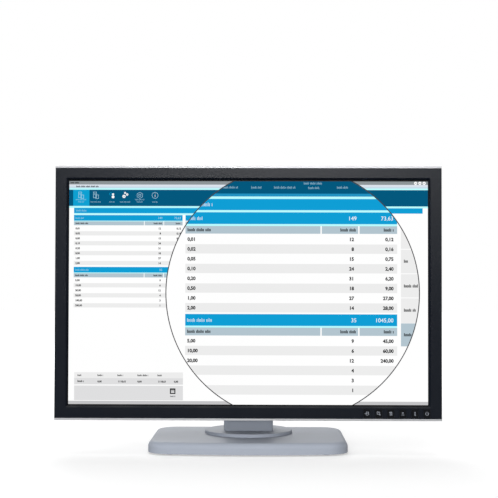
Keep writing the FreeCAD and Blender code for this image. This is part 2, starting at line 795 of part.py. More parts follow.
def rear_cover():
    """Moulded back shell with its stand recess, cable bay, vents and screw wells."""
    mid_z = head_z + head_height / 2
    outer = cover_loft(0.0, bezel_depth, cover_back)
    shell = outer.cut(cover_loft(cover_wall, bezel_depth, cover_back - cover_wall))
    rim_width = head_width - 2 * (bezel_wall + slack)
    rim_height = bezel_height - 2 * (bezel_wall + slack)
    flange = slab(head_width - 2 * cover_inset, head_height - 2 * cover_inset, at(bezel_depth),
                  at(bezel_depth + cover_wall), mid_z, cover_corner)
    tongue = slab(rim_width, rim_height, at(bezel_depth - cover_lip_depth), at(bezel_depth + cover_wall),
                  mid_z)
    mouth = slab(rim_width - 2 * cover_lip_wall, rim_height - 2 * cover_lip_wall,
                 at(bezel_depth - cover_lip_depth), at(bezel_depth + cover_wall), mid_z)
    recess_wall = slab(recess_size + 2 * cover_wall, recess_size + 2 * cover_wall, at(recess_floor),
                       at(cover_back), hinge_z)
    bay_wall = middle_block(bay_half_width + cover_wall, at(bay_floor_depth - cover_wall), at(cover_back),
                            head_z, bay_ceiling + cover_wall).common(outer)
    wells = [rod_y(well_radius + well_wall, at(post_top), at(cover_back), x, z)
             for x, z in corner_spots(well_x, well_z, mid_z=hinge_z)]
    body = joined([shell, flange.cut(mouth), tongue.cut(mouth), recess_wall, bay_wall] + wells)
    cuts = [slab(recess_size, recess_size, at(recess_floor), at(cover_back), hinge_z),
            middle_block(bay_half_width, at(bay_floor_depth), at(cover_back), head_z, bay_ceiling),
            block(lock_slot_x - lock_slot_width / 2, lock_slot_x + lock_slot_width / 2,
                  at(cover_back - cover_wall), at(cover_back), hinge_z - lock_slot_drop - lock_slot_height,
                  hinge_z - lock_slot_drop)]
    for x, z in corner_spots(well_x, well_z, mid_z=hinge_z):
        cuts.append(rod_y(well_radius, at(well_seat), at(cover_back), x, z))
        cuts.append(rod_y(screw_radius + screw_gap, at(post_top), at(well_seat), x, z))
    holes = [(inlet_x, inlet_width, inlet_depth),
             (digital_socket_x, digital_socket_width, signal_socket_depth),
             (analogue_socket_x, analogue_socket_width, signal_socket_depth)]
    for x, width, depth in holes:
        cuts.append(block(x - width / 2 - slack, x + width / 2 + slack, at(board_back) - slack,
                          at(board_back + depth) + slack, bay_ceiling - slack, bay_ceiling + cover_wall))
    return body.cut(cuts + cover_vents())


def cover_screws():
    """Four screws that hold the rear cover to the chassis posts."""
    screws = []
    for x, z in corner_spots(well_x, well_z, mid_z=hinge_z):
        head = rod_y(screw_head_radius, at(well_seat), at(well_seat + screw_head_height), x, z)
        shank = rod_y(screw_radius, at(post_top - screw_bite), at(well_seat), x, z)
        screws.append(joined([head, shank]))
    return screws


# ---- Stand bracket and tilt hinge

def stand_bracket():
    """Steel plate that hooks on the mounting plate and carries the hinge ears."""
    plate = slab(bracket_width, bracket_height, at(recess_floor), at(bracket_back), hinge_z, 3.0)
    ear_x = arm_half_width + hinge_side_gap
    root = middle_block(ear_x + ear_thickness, at(bracket_back), hinge_y, hinge_z - ear_radius,
                        hinge_z + ear_radius)
    ears = joined([root, rod_x(ear_radius, -ear_x - ear_thickness, ear_x + ear_thickness, hinge_y, hinge_z)])
    middle = middle_block(ear_x, at(bracket_back), hinge_y + ear_radius, hinge_z - ear_radius,
                          hinge_z + ear_radius)
    bore = rod_x(axle_radius + running, -ear_x - ear_thickness, ear_x + ear_thickness, hinge_y, hinge_z)
    ears = ears.cut([middle, bore])
    hooks = []
    for x in (-hook_x, hook_x):
        low = hinge_z + hook_rise
        back_face = recess_floor - bracket_leg - slack
        through = block(x - hook_width / 2, x + hook_width / 2, at(back_face - hook_thickness),
                        at(recess_floor), low, low + hook_thickness)
        lip = block(x - hook_width / 2, x + hook_width / 2, at(back_face - hook_thickness), at(back_face),
                    low, low + hook_thickness + hook_lip_height)
        hooks += [through, lip]
    return joined([plate] + ears.Solids + hooks)


def release_button():
    """Slide under the bracket that frees the stand."""
    top = hinge_z - bracket_height / 2 - release_gap
    body = block(-release_width / 2, release_width / 2, at(recess_floor), at(recess_floor + release_depth),
                 top - release_height, top)
    ribs = [block(-release_width / 2 + 3, release_width / 2 - 3, at(recess_floor + release_depth),
                  at(recess_floor + release_depth) + 0.6, z, z + 1.0)
            for z in (top - release_height * 0.75, top - release_height * 0.5, top - release_height * 0.25)]
    return joined([body] + ribs)


def tilt_arm():
    """Cast arm from the lift slider to the hinge, forked round the tilt spring."""
    flange_y = slider_y0 - arm_flange_thickness
    knuckle = rod_x(ear_radius, -arm_half_width, arm_half_width, hinge_y, hinge_z)
    web = middle_block(arm_half_width, hinge_y, flange_y, hinge_z - arm_web_height / 2,
                       hinge_z + arm_web_height / 2)
    flange = middle_block(arm_flange_half_width, flange_y, slider_y0, hinge_z - arm_flange_height / 2,
                          hinge_z + arm_flange_height / 2)
    body = joined([knuckle, web, flange])
    pocket = rod_x(ear_radius + slack, -spring_pocket, spring_pocket, hinge_y, hinge_z)
    bore = rod_x(axle_radius + 0.02, -arm_half_width, arm_half_width, hinge_y, hinge_z)
    holes = [rod_y(arm_screw_radius + screw_gap, flange_y, slider_y0, x, z)
             for x, z in corner_spots(arm_screw_x, arm_screw_z, mid_z=hinge_z)]
    return body.cut([pocket, bore] + holes)


def arm_screws():
    """Four screws that hold the arm to the slider."""
    flange_y = slider_y0 - arm_flange_thickness
    screws = []
    for x, z in corner_spots(arm_screw_x, arm_screw_z, mid_z=hinge_z):
        head = rod_y(arm_screw_head, flange_y - arm_screw_head_height, flange_y, x, z)
        shank = rod_y(arm_screw_radius, flange_y, slider_y0 + slider_wall, x, z)
        screws.append(joined([head, shank]))
    return screws


def hinge_ends():
    """The X of the outer faces of the ears, the washers and the nuts."""
    ear = arm_half_width + 2 * hinge_side_gap + ear_thickness
    washer = ear + washer_thickness
    return ear, washer, washer + nut_thickness


def tilt_axle():
    """Steel axle of the tilt hinge."""
    end = hinge_ends()[2] + axle_end
    return rod_x(axle_radius, -end, end, hinge_y, hinge_z)


def friction_washers():
    """Washers that press on the ears and hold the tilt."""
    ear, washer, _ = hinge_ends()
    ring = rod_x(washer_radius, ear, washer, hinge_y, hinge_z)
    ring = ring.cut(rod_x(axle_radius + running, ear, washer, hinge_y, hinge_z))
    return both_sides(ring)


def hex_prism_x(radius, x0, x1, y, z):
    """A six-sided bar along X."""
    points = [V(x0, y + radius * math.cos(math.radians(60 * n)), z + radius * math.sin(math.radians(60 * n)))
              for n in range(7)]
    return Part.Face(Part.makePolygon(points)).extrude(V(x1 - x0, 0, 0))


def axle_nuts():
    """Lock nuts at both ends of the axle."""
    _, washer, end = hinge_ends()
    nut = hex_prism_x(nut_radius, washer, end, hinge_y, hinge_z)
    nut = nut.cut(rod_x(axle_radius + running, washer, end, hinge_y, hinge_z))
    return both_sides(nut)


def tilt_spring():
    """Coil spring round the middle of the axle, which helps to lift the head's weight."""
    length = 2 * (spring_pocket - spring_wire) - 1.0
    path = Part.Wire(Part.makeHelix(spring_pitch, length, spring_radius))
    slope = spring_pitch / (2 * math.pi * spring_radius)
    section = Part.Wire(Part.makeCircle(spring_wire, V(spring_radius, 0, 0), V(0, 1, slope)))
    coil = path.makePipeShell([section], True, True)
    coil.rotate(V(0, 0, 0), V(0, 1, 0), 90)
    coil.translate(V(-length / 2, hinge_y, hinge_z))
    return coil


# ---- Column

def column_front_cover():
    """Silver front half of the column's casing, with the slot that the arm runs in."""
    half = column_width / 2
    split_y = column_front_y + column_split
    body = middle_block(half, column_front_y, split_y, base_top, column_top)
    body = body.makeFillet(min(column_round, column_split * 0.4),
                           vertical_edges(body, lambda p: abs(p.y - column_front_y) < 1e-6))
    hollow = middle_block(half - column_wall, column_front_y + column_wall, split_y, base_top,
                          column_top - collar_thickness)
    collar = middle_block(slider_half_width + collar_gap, slider_y0 - collar_gap, split_y,
                          column_top - collar_thickness, column_top)
    slot = middle_block(arm_slot_half, column_front_y, slider_y0,
                        hinge_z - arm_flange_height / 2 - slot_gap, column_top)
    ribs = both_sides(block(channel_half_width, half - column_wall, channel_y0 + 4, channel_y0 + 7,
                            base_top + 6, channel_top))
    seams = both_sides(block(half - seam_inset - seam_width, half - seam_inset, column_front_y,
                             column_front_y + seam_depth, base_top, column_top))
    return joined([body.cut([hollow, collar, slot])] + ribs).cut(seams)


def column_rear_cover():
    """Dark rear half of the column's casing."""
    half = column_width / 2
    split_y = column_front_y + column_split
    body = middle_block(half, split_y, column_back_y, base_top, column_top)
    body = body.makeFillet(min(column_round, column_split * 0.4),
                           vertical_edges(body, lambda p: abs(p.y - column_back_y) < 1e-6))
    hollow = middle_block(half - column_wall, split_y, column_back_y - column_wall, base_top,
                          column_top - collar_thickness)
    collar = middle_block(slider_half_width + collar_gap, split_y, slider_y1 + collar_gap,
                          column_top - collar_thickness, column_top)
    ribs = both_sides(block(channel_half_width - 8, channel_half_width - 5, channel_y1,
                            column_back_y - column_wall, base_top + 6, channel_top))
    lock_hole = rod_y(lock_radius + lock_gap, column_back_y - column_wall, column_back_y, 0, lock_z)
    return joined([body.cut([hollow, collar, lock_hole])] + ribs)


def column_channel():
    """Steel channel that the slider runs in, welded to its foot."""
    half = channel_half_width
    shell = middle_block(half, channel_y0, channel_y1, turntable_top, channel_top)
    inside = middle_block(half - channel_wall, channel_y0 + channel_wall, channel_y1 - channel_wall,
                          turntable_top, channel_top)
    mouth = middle_block(half - channel_wall - channel_lip, channel_y0, channel_y0 + channel_wall,
                         turntable_top, channel_top)
    foot = middle_block(column_width / 2 - column_wall - foot_gap, column_front_y + column_wall + foot_gap,
                        column_back_y - column_wall - foot_gap, turntable_top,
                        turntable_top + foot_thickness)
    body = joined([shell.cut([inside, mouth]), foot])
    holes = [rod_z(screw_radius + screw_gap, turntable_top, turntable_top + foot_thickness, x, y)
             for x, y in corner_spots(foot_screw_x, foot_screw_y, mid_z=column_mid_y)]
    holes.append(rod_z(bolt_head_radius + slack, turntable_top, turntable_top + foot_thickness, 0,
                       column_mid_y))
    holes.append(rod_y(lock_pin_radius + slack, channel_y1 - channel_wall, channel_y1, 0, lock_z))
    return body.cut(holes)


def foot_screws():
    """Four screws that hold the column's foot to the turntable."""
    screws = []
    for x, y in corner_spots(foot_screw_x, foot_screw_y, mid_z=column_mid_y):
        top = turntable_top + foot_thickness
        head = rod_z(screw_head_radius, top, top + screw_head_height, x, y)
        shank = rod_z(screw_radius, turntable_z, top, x, y)
        screws.append(joined([head, shank]))
    return screws


def drum_bracket():
    """Bent bracket inside the channel that carries the spring drum."""
    wall_y = channel_y1 - channel_wall
    outer = drum_width / 2 + 1.0 + drum_ear
    plate = middle_block(outer, wall_y - drum_ear, wall_y, drum_z - drum_ear_half, drum_z + drum_ear_half)
    ear = block(outer - drum_ear, outer, drum_y - drum_axle_radius * 2, wall_y, drum_z - drum_ear_half / 2,
                drum_z + drum_ear_half / 2)
    body = joined([plate] + both_sides(ear))
    return body.cut(rod_x(drum_axle_radius + running, -outer, outer, drum_y, drum_z))


def spring_drum():
    """Plastic drum and its steel axle."""
    core = rod_x(drum_core_radius, -drum_width / 2, drum_width / 2, drum_y, drum_z)
    core = core.cut(rod_x(drum_axle_radius + running, -drum_width / 2, drum_width / 2, drum_y, drum_z))
    outer = drum_width / 2 + 1.0 + drum_ear
    return [core, rod_x(drum_axle_radius, -outer, outer, drum_y, drum_z)]


def lift_spring_coil():
    """Wound part of the constant-force spring."""
    coil = rod_x(drum_coil_radius, -strip_width / 2, strip_width / 2, drum_y, drum_z)
    return coil.cut(rod_x(drum_core_radius + running, -strip_width / 2, strip_width / 2, drum_y, drum_z))


def lift_spring_strip():
    """Unwound part of the spring, from the drum down to the slider's crossbar."""
    front = drum_y - drum_coil_radius - strip_thickness
    return middle_block(strip_width / 2, front, front + strip_thickness, slider_low + crossbar_height,
                        drum_z)


def cable_clip():
    """Plastic clip behind the column for the cables."""
    y0 = column_back_y
    shell = slab_z(clip_width, clip_reach, clip_z, clip_z + clip_height, 0, y0 + clip_reach / 2, 3.0)
    inside = slab_z(clip_width - 2 * clip_wall, clip_reach - 2 * clip_wall, clip_z, clip_z + clip_height, 0,
                    y0 + clip_reach / 2, 1.5)
    mouth = middle_block(clip_mouth / 2, y0 + clip_reach - clip_wall, y0 + clip_reach, clip_z,
                         clip_z + clip_height)
    return shell.cut([inside, mouth])


def slab_z(width, depth, z0, z1, mid_x, mid_y, corner):
    """A level plate with rounded corners."""
    body = block(mid_x - width / 2, mid_x + width / 2, mid_y - depth / 2, mid_y + depth / 2, z0, z1)
    return body.makeFillet(corner, vertical_edges(body, lambda p: True))


def lift_lock():
    """Button behind the column whose pin stops the slider at its lowest position."""
    inner_face = column_back_y - column_wall
    cap = rod_y(lock_radius, inner_face, column_back_y + lock_proud, 0, lock_z)
    flange = rod_y(lock_radius + lock_flange, inner_face - lock_flange_thickness, inner_face, 0, lock_z)
    pin = rod_y(lock_pin_radius, slider_y1 + lock_travel * 0.5, inner_face, 0, lock_z)
    return joined([cap, flange, pin])


# ---- Lift slider

def lift_slider():
    """Steel slider, open at the back, with the crossbar that the spring pulls on."""
    shell = middle_block(slider_half_width, slider_y0, slider_y1, slider_low, slider_top)
    inside = middle_block(slider_half_width - slider_wall, slider_y0 + slider_wall, slider_y1,
                          slider_low + crossbar_height, slider_top)
    holes = [rod_y(arm_screw_radius + screw_gap, slider_y0, slider_y0 + slider_wall, x, z)
             for x, z in corner_spots(arm_screw_x, arm_screw_z, mid_z=hinge_z)]
    return shell.cut([inside] + holes)


def slider_glides():
    """Nylon pads between the slider and the channel."""
    pads = []
    y0 = channel_y0 + channel_wall + glide_gap
    y1 = channel_y1 - channel_wall - glide_gap
    for high in (hinge_z - glide_upper, slider_low + glide_height + 2.0):
        pad = block(slider_half_width, channel_half_width - channel_wall - glide_gap, y0, y1,
                    high - glide_height, high)
        pads += both_sides(pad)
    return pads


def slider_cap():
    """Plastic cap that closes the top of the slider."""
    lid = middle_block(slider_half_width, slider_y0, slider_y1, slider_top, slider_top + cap_thickness)
    plug = middle_block(slider_half_width - slider_wall - slack, slider_y0 + slider_wall + slack,
                        slider_y1, slider_top - cap_plug, slider_top)
    return joined([lid, plug])


# ---- Base

def base_form(inset, z0, z1, top_round):
    """The base's outer form, or the hollow inside it when inset: a rounded plan with a bowed front."""
    half_w = base_width / 2 - inset
    back = base_depth / 2 - inset
    corner_y = -base_depth / 2 + base_bow + inset
    left, right = V(-half_w, corner_y, z0), V(half_w, corner_y, z0)
    bow = Part.Arc(left, V(0, -base_depth / 2 + inset, z0), right).toShape()
    rest = Part.makePolygon([right, V(half_w, back, z0), V(-half_w, back, z0), left])
    plan = Part.Face(Part.Wire([bow] + rest.Edges))
    body = plan.extrude(V(0, 0, z1 - z0))
    body = body.makeFillet(base_corner - inset, vertical_edges(body, lambda p: True))
    if top_round > 0:
        rim = [e for e in body.Edges if all(abs(v.Point.z - z1) < 1e-6 for v in e.Vertexes)]
        body = body.makeFillet(top_round, rim)
    return body


def base_cover():
    """Moulded top shell of the base."""
    outer = base_form(0.0, foot_height, base_height, base_round)
    inner = base_form(base_wall, foot_height, base_height - base_wall, max(base_round - base_wall, 0.5))
    hole = rod_z(hub_radius + slack, foot_height, base_height, 0, column_mid_y)
    return outer.cut([inner, hole])


def base_plate():
    """Steel plate that closes the base, with a hole under the swivel nut."""
    plate = base_form(base_wall + slack / 2, plate_z, weight_z, 0)
    return plate.cut(rod_z(nut_pocket, plate_z, weight_z, 0, column_mid_y))


def base_weight():
    """Cast-iron weight with the hub that carries the turntable."""
    slab_part = slab_z(weight_width, weight_depth, weight_z, weight_z + weight_height, 0, 0, weight_corner)
    hub = rod_z(hub_radius, weight_z, glide_ring_z, 0, column_mid_y)
    pocket_top = (weight_z + glide_ring_z) / 2
    bore = rod_z(bolt_radius + running, pocket_top, glide_ring_z, 0, column_mid_y)
    pocket = rod_z(nut_pocket, weight_z, pocket_top, 0, column_mid_y)
    return joined([slab_part, hub]).cut([bore, pocket])


def rubber_feet():
    """Four round pads under the base plate, and a fifth under the column."""
    spots = corner_spots(foot_x, foot_y) + [(0, base_depth / 2 - 3 * foot_radius)]
    pads = []
    for x, y in spots:
        pad = rod_z(foot_radius, 0, foot_height, x, y)
        rim = [e for e in pad.Edges if all(abs(v.Point.z) < 1e-6 for v in e.Vertexes) and e.Length > 1]
        pads.append(pad.makeChamfer(foot_height * 0.25, rim[:1]))
    return pads


def glide_ring():
    """Nylon ring that the turntable turns on."""
    outer = hub_radius - 1.0
    ring = rod_z(outer, glide_ring_z, turntable_z, 0, column_mid_y)
    return ring.cut(rod_z(outer - glide_ring_width, glide_ring_z, turntable_z, 0, column_mid_y))


def turntable():
    """Steel turntable under the column."""
    disc = rod_z(turntable_rim - slack, turntable_z, turntable_top, 0, column_mid_y)
    holes = [rod_z(screw_radius + screw_gap, turntable_z, turntable_top, x, y)
             for x, y in corner_spots(foot_screw_x, foot_screw_y, mid_z=column_mid_y)]
    holes.append(rod_z(bolt_radius + running, turntable_z, turntable_top, 0, column_mid_y))
    return disc.cut(holes)


def turntable_cover():
    """Silver cover of the turntable, with a turned-down rim."""
    body = rod_z(turntable_radius, turntable_z, base_top, 0, column_mid_y)
    top_edge = [e for e in body.Edges if e.BoundBox.ZMin > base_top - 1e-6 and e.Length > 1]
    body = body.makeFillet(turntable_wall * 0.6, top_edge[:1])
    inside = rod_z(turntable_rim, turntable_z, turntable_top, 0, column_mid_y)
    hole = middle_block(column_width / 2 - column_wall, column_front_y + column_wall,
                        column_back_y - column_wall, turntable_top, base_top)
    return body.cut([inside, hole])


def swivel_bolt():
    """Shouldered bolt that the stand swivels on."""
    head = rod_z(bolt_head_radius, turntable_top, turntable_top + bolt_head_height, 0, column_mid_y)
    shank = rod_z(bolt_radius, weight_z + bolt_end, turntable_top, 0, column_mid_y)
    return joined([head, shank])


def swivel_nut():
    """Nut and washer under the hub, in their pocket."""
    pocket_top = (weight_z + glide_ring_z) / 2
    washer = rod_z(bolt_nut_radius + 1.5, pocket_top - 1.5, pocket_top - running, 0, column_mid_y)
    nut = rod_z(bolt_nut_radius, pocket_top - 1.5 - bolt_nut_height, pocket_top - 1.5, 0, column_mid_y)
    bore = rod_z(bolt_radius + running, weight_z, pocket_top, 0, column_mid_y)
    return [washer.cut(bore), nut.cut(bore)]


# ---- The whole monitor

KEY_NAMES = ("input_key", "window_key", "menu_key", "down_key", "up_key", "power_key")

PIECES = {
    "rubber_feet": rubber_feet,
    "base_plate": base_plate,
    "base_weight": base_weight,
    "base_cover": base_cover,
    "swivel_glide_ring": glide_ring,
    "turntable": turntable,
    "turntable_cover": turntable_cover,
    "swivel_bolt": swivel_bolt,
    "swivel_nut": swivel_nut,
    "column_channel": column_channel,
    "column_foot_screws": foot_screws,
    "column_front_cover": column_front_cover,
    "column_rear_cover": column_rear_cover,
    "spring_drum_bracket": drum_bracket,
    "spring_drum": spring_drum,
    "lift_spring_coil": lift_spring_coil,
    "lift_spring_strip": lift_spring_strip,
    "cable_clip": cable_clip,
    "lift_lock_button": lift_lock,
    "lift_slider": lift_slider,
    "slider_glides": slider_glides,
    "slider_cap": slider_cap,
    "tilt_arm": tilt_arm,
    "tilt_arm_screws": arm_screws,
    "tilt_axle": tilt_axle,
    "tilt_friction_washers": friction_washers,
    "tilt_axle_nuts": axle_nuts,
    "tilt_spring": tilt_spring,
    "stand_bracket": stand_bracket,
    "stand_release_button": release_button,
    "mounting_plate": vesa_plate,
    "rear_cover": rear_cover,
    "rear_cover_screws": cover_screws,
    "chassis_plate": chassis_plate,
    "power_board": lambda: circuit_board(-1),
    "power_components": power_components,
    "signal_board": lambda: circuit_board(1),
    "signal_components": signal_components,
    "signal_board_shield": board_shield,
    "power_inlet": power_inlet,
    "signal_sockets": signal_sockets,
    "panel_front_frame": panel_front_frame,
    "panel_glass": lcd_glass,
    "panel_mid_frame": panel_mid_frame,
    "optical_sheets": optical_sheets,
    "light_guide": light_guide,
    "lamp_housings": lamp_housings,
    "backlight_lamps": backlight_lamps,
    "panel_back_pan": panel_back_pan,
    "front_bezel": front_bezel,
    "bezel_trims": bezel_trims,
    "key_board": key_board,
}


def write_part(name, made):
    """Writes one sub-part's solids to its own file."""
    solids = made if isinstance(made, list) else [made]
    shape = solids[0] if len(solids) == 1 else Part.makeCompound(solids)
    shape.exportStep("parts/" + name + ".step")


def main():
    """Builds every sub-part and writes it."""
    os.makedirs("parts", exist_ok=True)
    for name, make in PIECES.items():
        write_part(name, make())
    for name, x in zip(KEY_NAMES, key_xs()):
        write_part(name, front_key(x))


main()
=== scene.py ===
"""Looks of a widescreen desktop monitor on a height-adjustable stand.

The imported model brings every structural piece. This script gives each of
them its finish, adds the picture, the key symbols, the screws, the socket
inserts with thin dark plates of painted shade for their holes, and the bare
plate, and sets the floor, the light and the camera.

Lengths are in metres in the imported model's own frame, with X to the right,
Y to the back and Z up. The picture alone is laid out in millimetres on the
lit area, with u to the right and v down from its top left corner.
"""

import json
import logging
import math
from dataclasses import dataclass
from enum import Enum
from typing import ClassVar

import bmesh
import bpy
from mathutils import Matrix, Vector


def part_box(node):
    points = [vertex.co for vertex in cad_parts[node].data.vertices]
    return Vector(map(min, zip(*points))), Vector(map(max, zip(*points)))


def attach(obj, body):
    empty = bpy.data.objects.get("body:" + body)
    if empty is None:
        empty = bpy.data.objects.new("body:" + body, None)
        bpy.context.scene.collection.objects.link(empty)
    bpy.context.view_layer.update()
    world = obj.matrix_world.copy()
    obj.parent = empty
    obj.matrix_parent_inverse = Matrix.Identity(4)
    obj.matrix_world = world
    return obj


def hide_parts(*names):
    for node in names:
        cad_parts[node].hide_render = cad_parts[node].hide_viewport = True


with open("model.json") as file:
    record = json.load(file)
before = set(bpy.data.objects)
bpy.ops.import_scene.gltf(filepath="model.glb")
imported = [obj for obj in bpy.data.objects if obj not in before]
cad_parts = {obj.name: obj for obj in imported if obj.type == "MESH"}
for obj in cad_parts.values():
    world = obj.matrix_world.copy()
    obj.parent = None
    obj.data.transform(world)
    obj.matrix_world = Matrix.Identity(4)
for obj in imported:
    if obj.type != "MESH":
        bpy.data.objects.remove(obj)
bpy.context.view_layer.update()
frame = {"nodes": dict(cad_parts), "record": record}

log = logging.getLogger("monitor")

MM = 0.001
FACE_FRONT = Matrix.Rotation(math.pi / 2, 4, "X")    # turns a flat form to face the viewer
FACE_BACK = Matrix.Rotation(-math.pi / 2, 4, "X")    # turns a flat form to face the wall
FACE_DOWN = Matrix.Rotation(math.pi, 4, "X")         # turns a flat form to face the floor
DIGIT_SHARE = 0.73                                   # a digit's height as a share of its font's size
SMOOTH_LIMIT = math.radians(35)                      # the sharpest turn that is shaded smooth
TOP_LEVEL = 255                                      # the highest level of a display colour

Socket = bpy.types.NodeSocket
Colour = tuple[int, int, int]
Level = Socket | float


# ---- Node trees

def linear(colour: Colour) -> tuple[float, float, float, float]:
    """Turns a display colour into the shaders' linear one.

    Args:
        colour: Red, green and blue, each 0 to 255.

    Returns:
        The linear colour, with full alpha.
    """
    parts = [part / TOP_LEVEL for part in colour]
    light = [p / 12.92 if p <= 0.04045 else ((p + 0.055) / 1.055) ** 2.4 for p in parts]
    return (*light, 1.0)


class Graph:
    """Short calls that lay the nodes of one tree."""

    def __init__(self, tree: bpy.types.NodeTree) -> None:
        """Keeps the tree that the nodes go into."""
        self.tree = tree

    def feed(self, inputs: bpy.types.NodeInputs, levels: dict[str | int, object]) -> None:
        """Gives inputs their values, or the sockets that feed them.

        Args:
            inputs: The inputs of a node, or what a shared effect gives back.
            levels: For each input, a value or a socket.
        """
        for key, level in levels.items():
            if isinstance(level, Socket):
                self.tree.links.new(level, inputs[key])
            else:
                inputs[key].default_value = level

    def add(self, kind: str, inputs: dict[str | int, object] | None = None,
            **settings: object) -> bpy.types.Node:
        """Adds one node.

        Args:
            kind: The node's type name.
            inputs: For each input, a value or the socket that feeds it.
            settings: The node's own properties.

        Returns:
            The new node.
        """
        node = self.tree.nodes.new(kind)
        for key, value in settings.items():
            setattr(node, key, value)
        self.feed(node.inputs, inputs or {})
        return node

    def maths(self, operation: str, *values: Level) -> Socket:
        """Works out one sum.

        Args:
            operation: The Math node's operation.
            values: Its inputs in order, numbers or sockets.

        Returns:
            The result's socket.
        """
        return self.add("ShaderNodeMath", dict(enumerate(values)), operation=operation).outputs[0]

    def span(self, value: Socket, low: float, high: float, to_low: float = 0.0,
             to_high: float = 1.0, smooth: bool = False) -> Socket:
        """Maps one range onto another, held at its ends.

        Args:
            value: The value that varies.
            low: The start of its range.
            high: The end of its range.
            to_low: What the start becomes.
            to_high: What the end becomes.
            smooth: Whether the ends are eased.

        Returns:
            The mapped value's socket.
        """
        ease = "SMOOTHSTEP" if smooth else "LINEAR"
        inputs = {"Value": value, "From Min": low, "From Max": high, "To Min": to_low, "To Max": to_high}
        return self.add("ShaderNodeMapRange", inputs, interpolation_type=ease).outputs[0]

    def mix(self, share: Level, first: object, second: object, blend: str = "MIX") -> Socket:
        """Mixes two colours.

        Args:
            share: How much of the second colour, 0 to 1.
            first: A colour or its socket.
            second: A colour or its socket.
            blend: The Mix node's way of blending.

        Returns:
            The mixed colour's socket.
        """
        node = self.add("ShaderNodeMix", {0: share, 6: first, 7: second}, data_type="RGBA", blend_type=blend)
        return node.outputs[2]

    def place(self) -> Socket:
        """The surface point in the object's own frame."""
        return self.add("ShaderNodeTexCoord").outputs["Object"]

    def stretched(self, point: Socket, scale: tuple[float, float, float]) -> Socket:
        """A point with each axis scaled, so that a pattern stretches along the small ones.

        Args:
            point: The point's socket.
            scale: The factor for each axis.

        Returns:
            The scaled point's socket.
        """
        return self.add("ShaderNodeMapping", {"Vector": point, "Scale": scale}).outputs[0]

    def noise(self, point: Socket, scale: Level, detail: float = 2.0) -> Socket:
        """Smooth noise from 0 to 1.

        Args:
            point: The point's socket.
            scale: Waves per metre.
            detail: How many finer layers are added.

        Returns:
            The noise's socket.
        """
        return self.add("ShaderNodeTexNoise", {"Vector": point, "Scale": scale, "Detail": detail}).outputs[0]

    def effect(self, name: str, inputs: dict[str, object]) -> bpy.types.NodeOutputs:
        """Places a shared effect.

        Args:
            name: The effect's name among EFFECTS.
            inputs: For each named input, a value or a socket.

        Returns:
            The effect's outputs.
        """
        group = bpy.data.node_groups.get(name) or EFFECTS[name]()
        return self.add("ShaderNodeGroup", inputs, node_tree=group).outputs


def open_group(name: str, inputs: dict[str, str], outputs: dict[str, str]
               ) -> tuple[Graph, bpy.types.NodeOutputs, bpy.types.NodeInputs]:
    """Starts a shared effect.

    Args:
        name: The effect's name.
        inputs: The kind of each named input, such as Float or Vector.
        outputs: The kind of each named output.

    Returns:
        The group's graph, what is given to it and what it gives back.
    """
    tree = bpy.data.node_groups.new(name, "ShaderNodeTree")
    for way, sockets in (("INPUT", inputs), ("OUTPUT", outputs)):
        for label, kind in sockets.items():
            tree.interface.new_socket(label, in_out=way, socket_type=f"NodeSocket{kind}")
    graph = Graph(tree)
    return graph, graph.add("NodeGroupInput").outputs, graph.add("NodeGroupOutput").inputs


def moulded_grain() -> bpy.types.NodeTree:
    """The fine pimples of textured plastic, with slow drifts of tone and gloss.

    Returns:
        The effect's node group.
    """
    drift_waves = 7.0
    gloss_waves = 23.0
    speck_size = 0.4
    drift_part = 1.4
    speck_part = 0.6
    graph, given, result = open_group("moulded_grain",
                                      {"Vector": "Vector", "Scale": "Float", "Spread": "Float"},
                                      {"Tone": "Float", "Gloss": "Float", "Height": "Float"})
    point = given["Vector"]
    pimples = graph.noise(point, given["Scale"], 2.0)
    drift = graph.noise(point, drift_waves, 3.0)
    speck = graph.noise(point, graph.maths("MULTIPLY", given["Scale"], speck_size), 1.0)
    drift = graph.maths("MULTIPLY", drift, drift_part)
    swing = graph.maths("ADD", drift, graph.maths("MULTIPLY", speck, speck_part))
    swing = graph.maths("SUBTRACT", swing, (drift_part + speck_part) / 2)
    tone = graph.maths("MULTIPLY_ADD", swing, given["Spread"], 1.0)
    graph.feed(result, {"Tone": tone, "Gloss": graph.noise(point, gloss_waves, 4.0), "Height": pimples})
    return graph.tree


def edge_wear() -> bpy.types.NodeTree:
    """Where corners are rubbed: broken patches along edges that stand out.

    Returns:
        The effect's node group.
    """
    edge_turn = (0.98, 0.80)
    patch_waves = 140.0
    patch_range = (0.42, 0.62)
    graph, given, result = open_group("edge_wear", {"Vector": "Vector", "Radius": "Float"}, {"Mask": "Float"})
    rounded = graph.add("ShaderNodeBevel", {"Radius": given["Radius"]}, samples=4).outputs[0]
    plain = graph.add("ShaderNodeNewGeometry").outputs["Normal"]
    turn = graph.add("ShaderNodeVectorMath", {0: rounded, 1: plain}, operation="DOT_PRODUCT").outputs["Value"]
    edge = graph.span(turn, *edge_turn, smooth=True)
    broken = graph.span(graph.noise(given["Vector"], patch_waves, 4.0), *patch_range)
    graph.feed(result, {"Mask": graph.maths("MULTIPLY", edge, broken)})
    return graph.tree


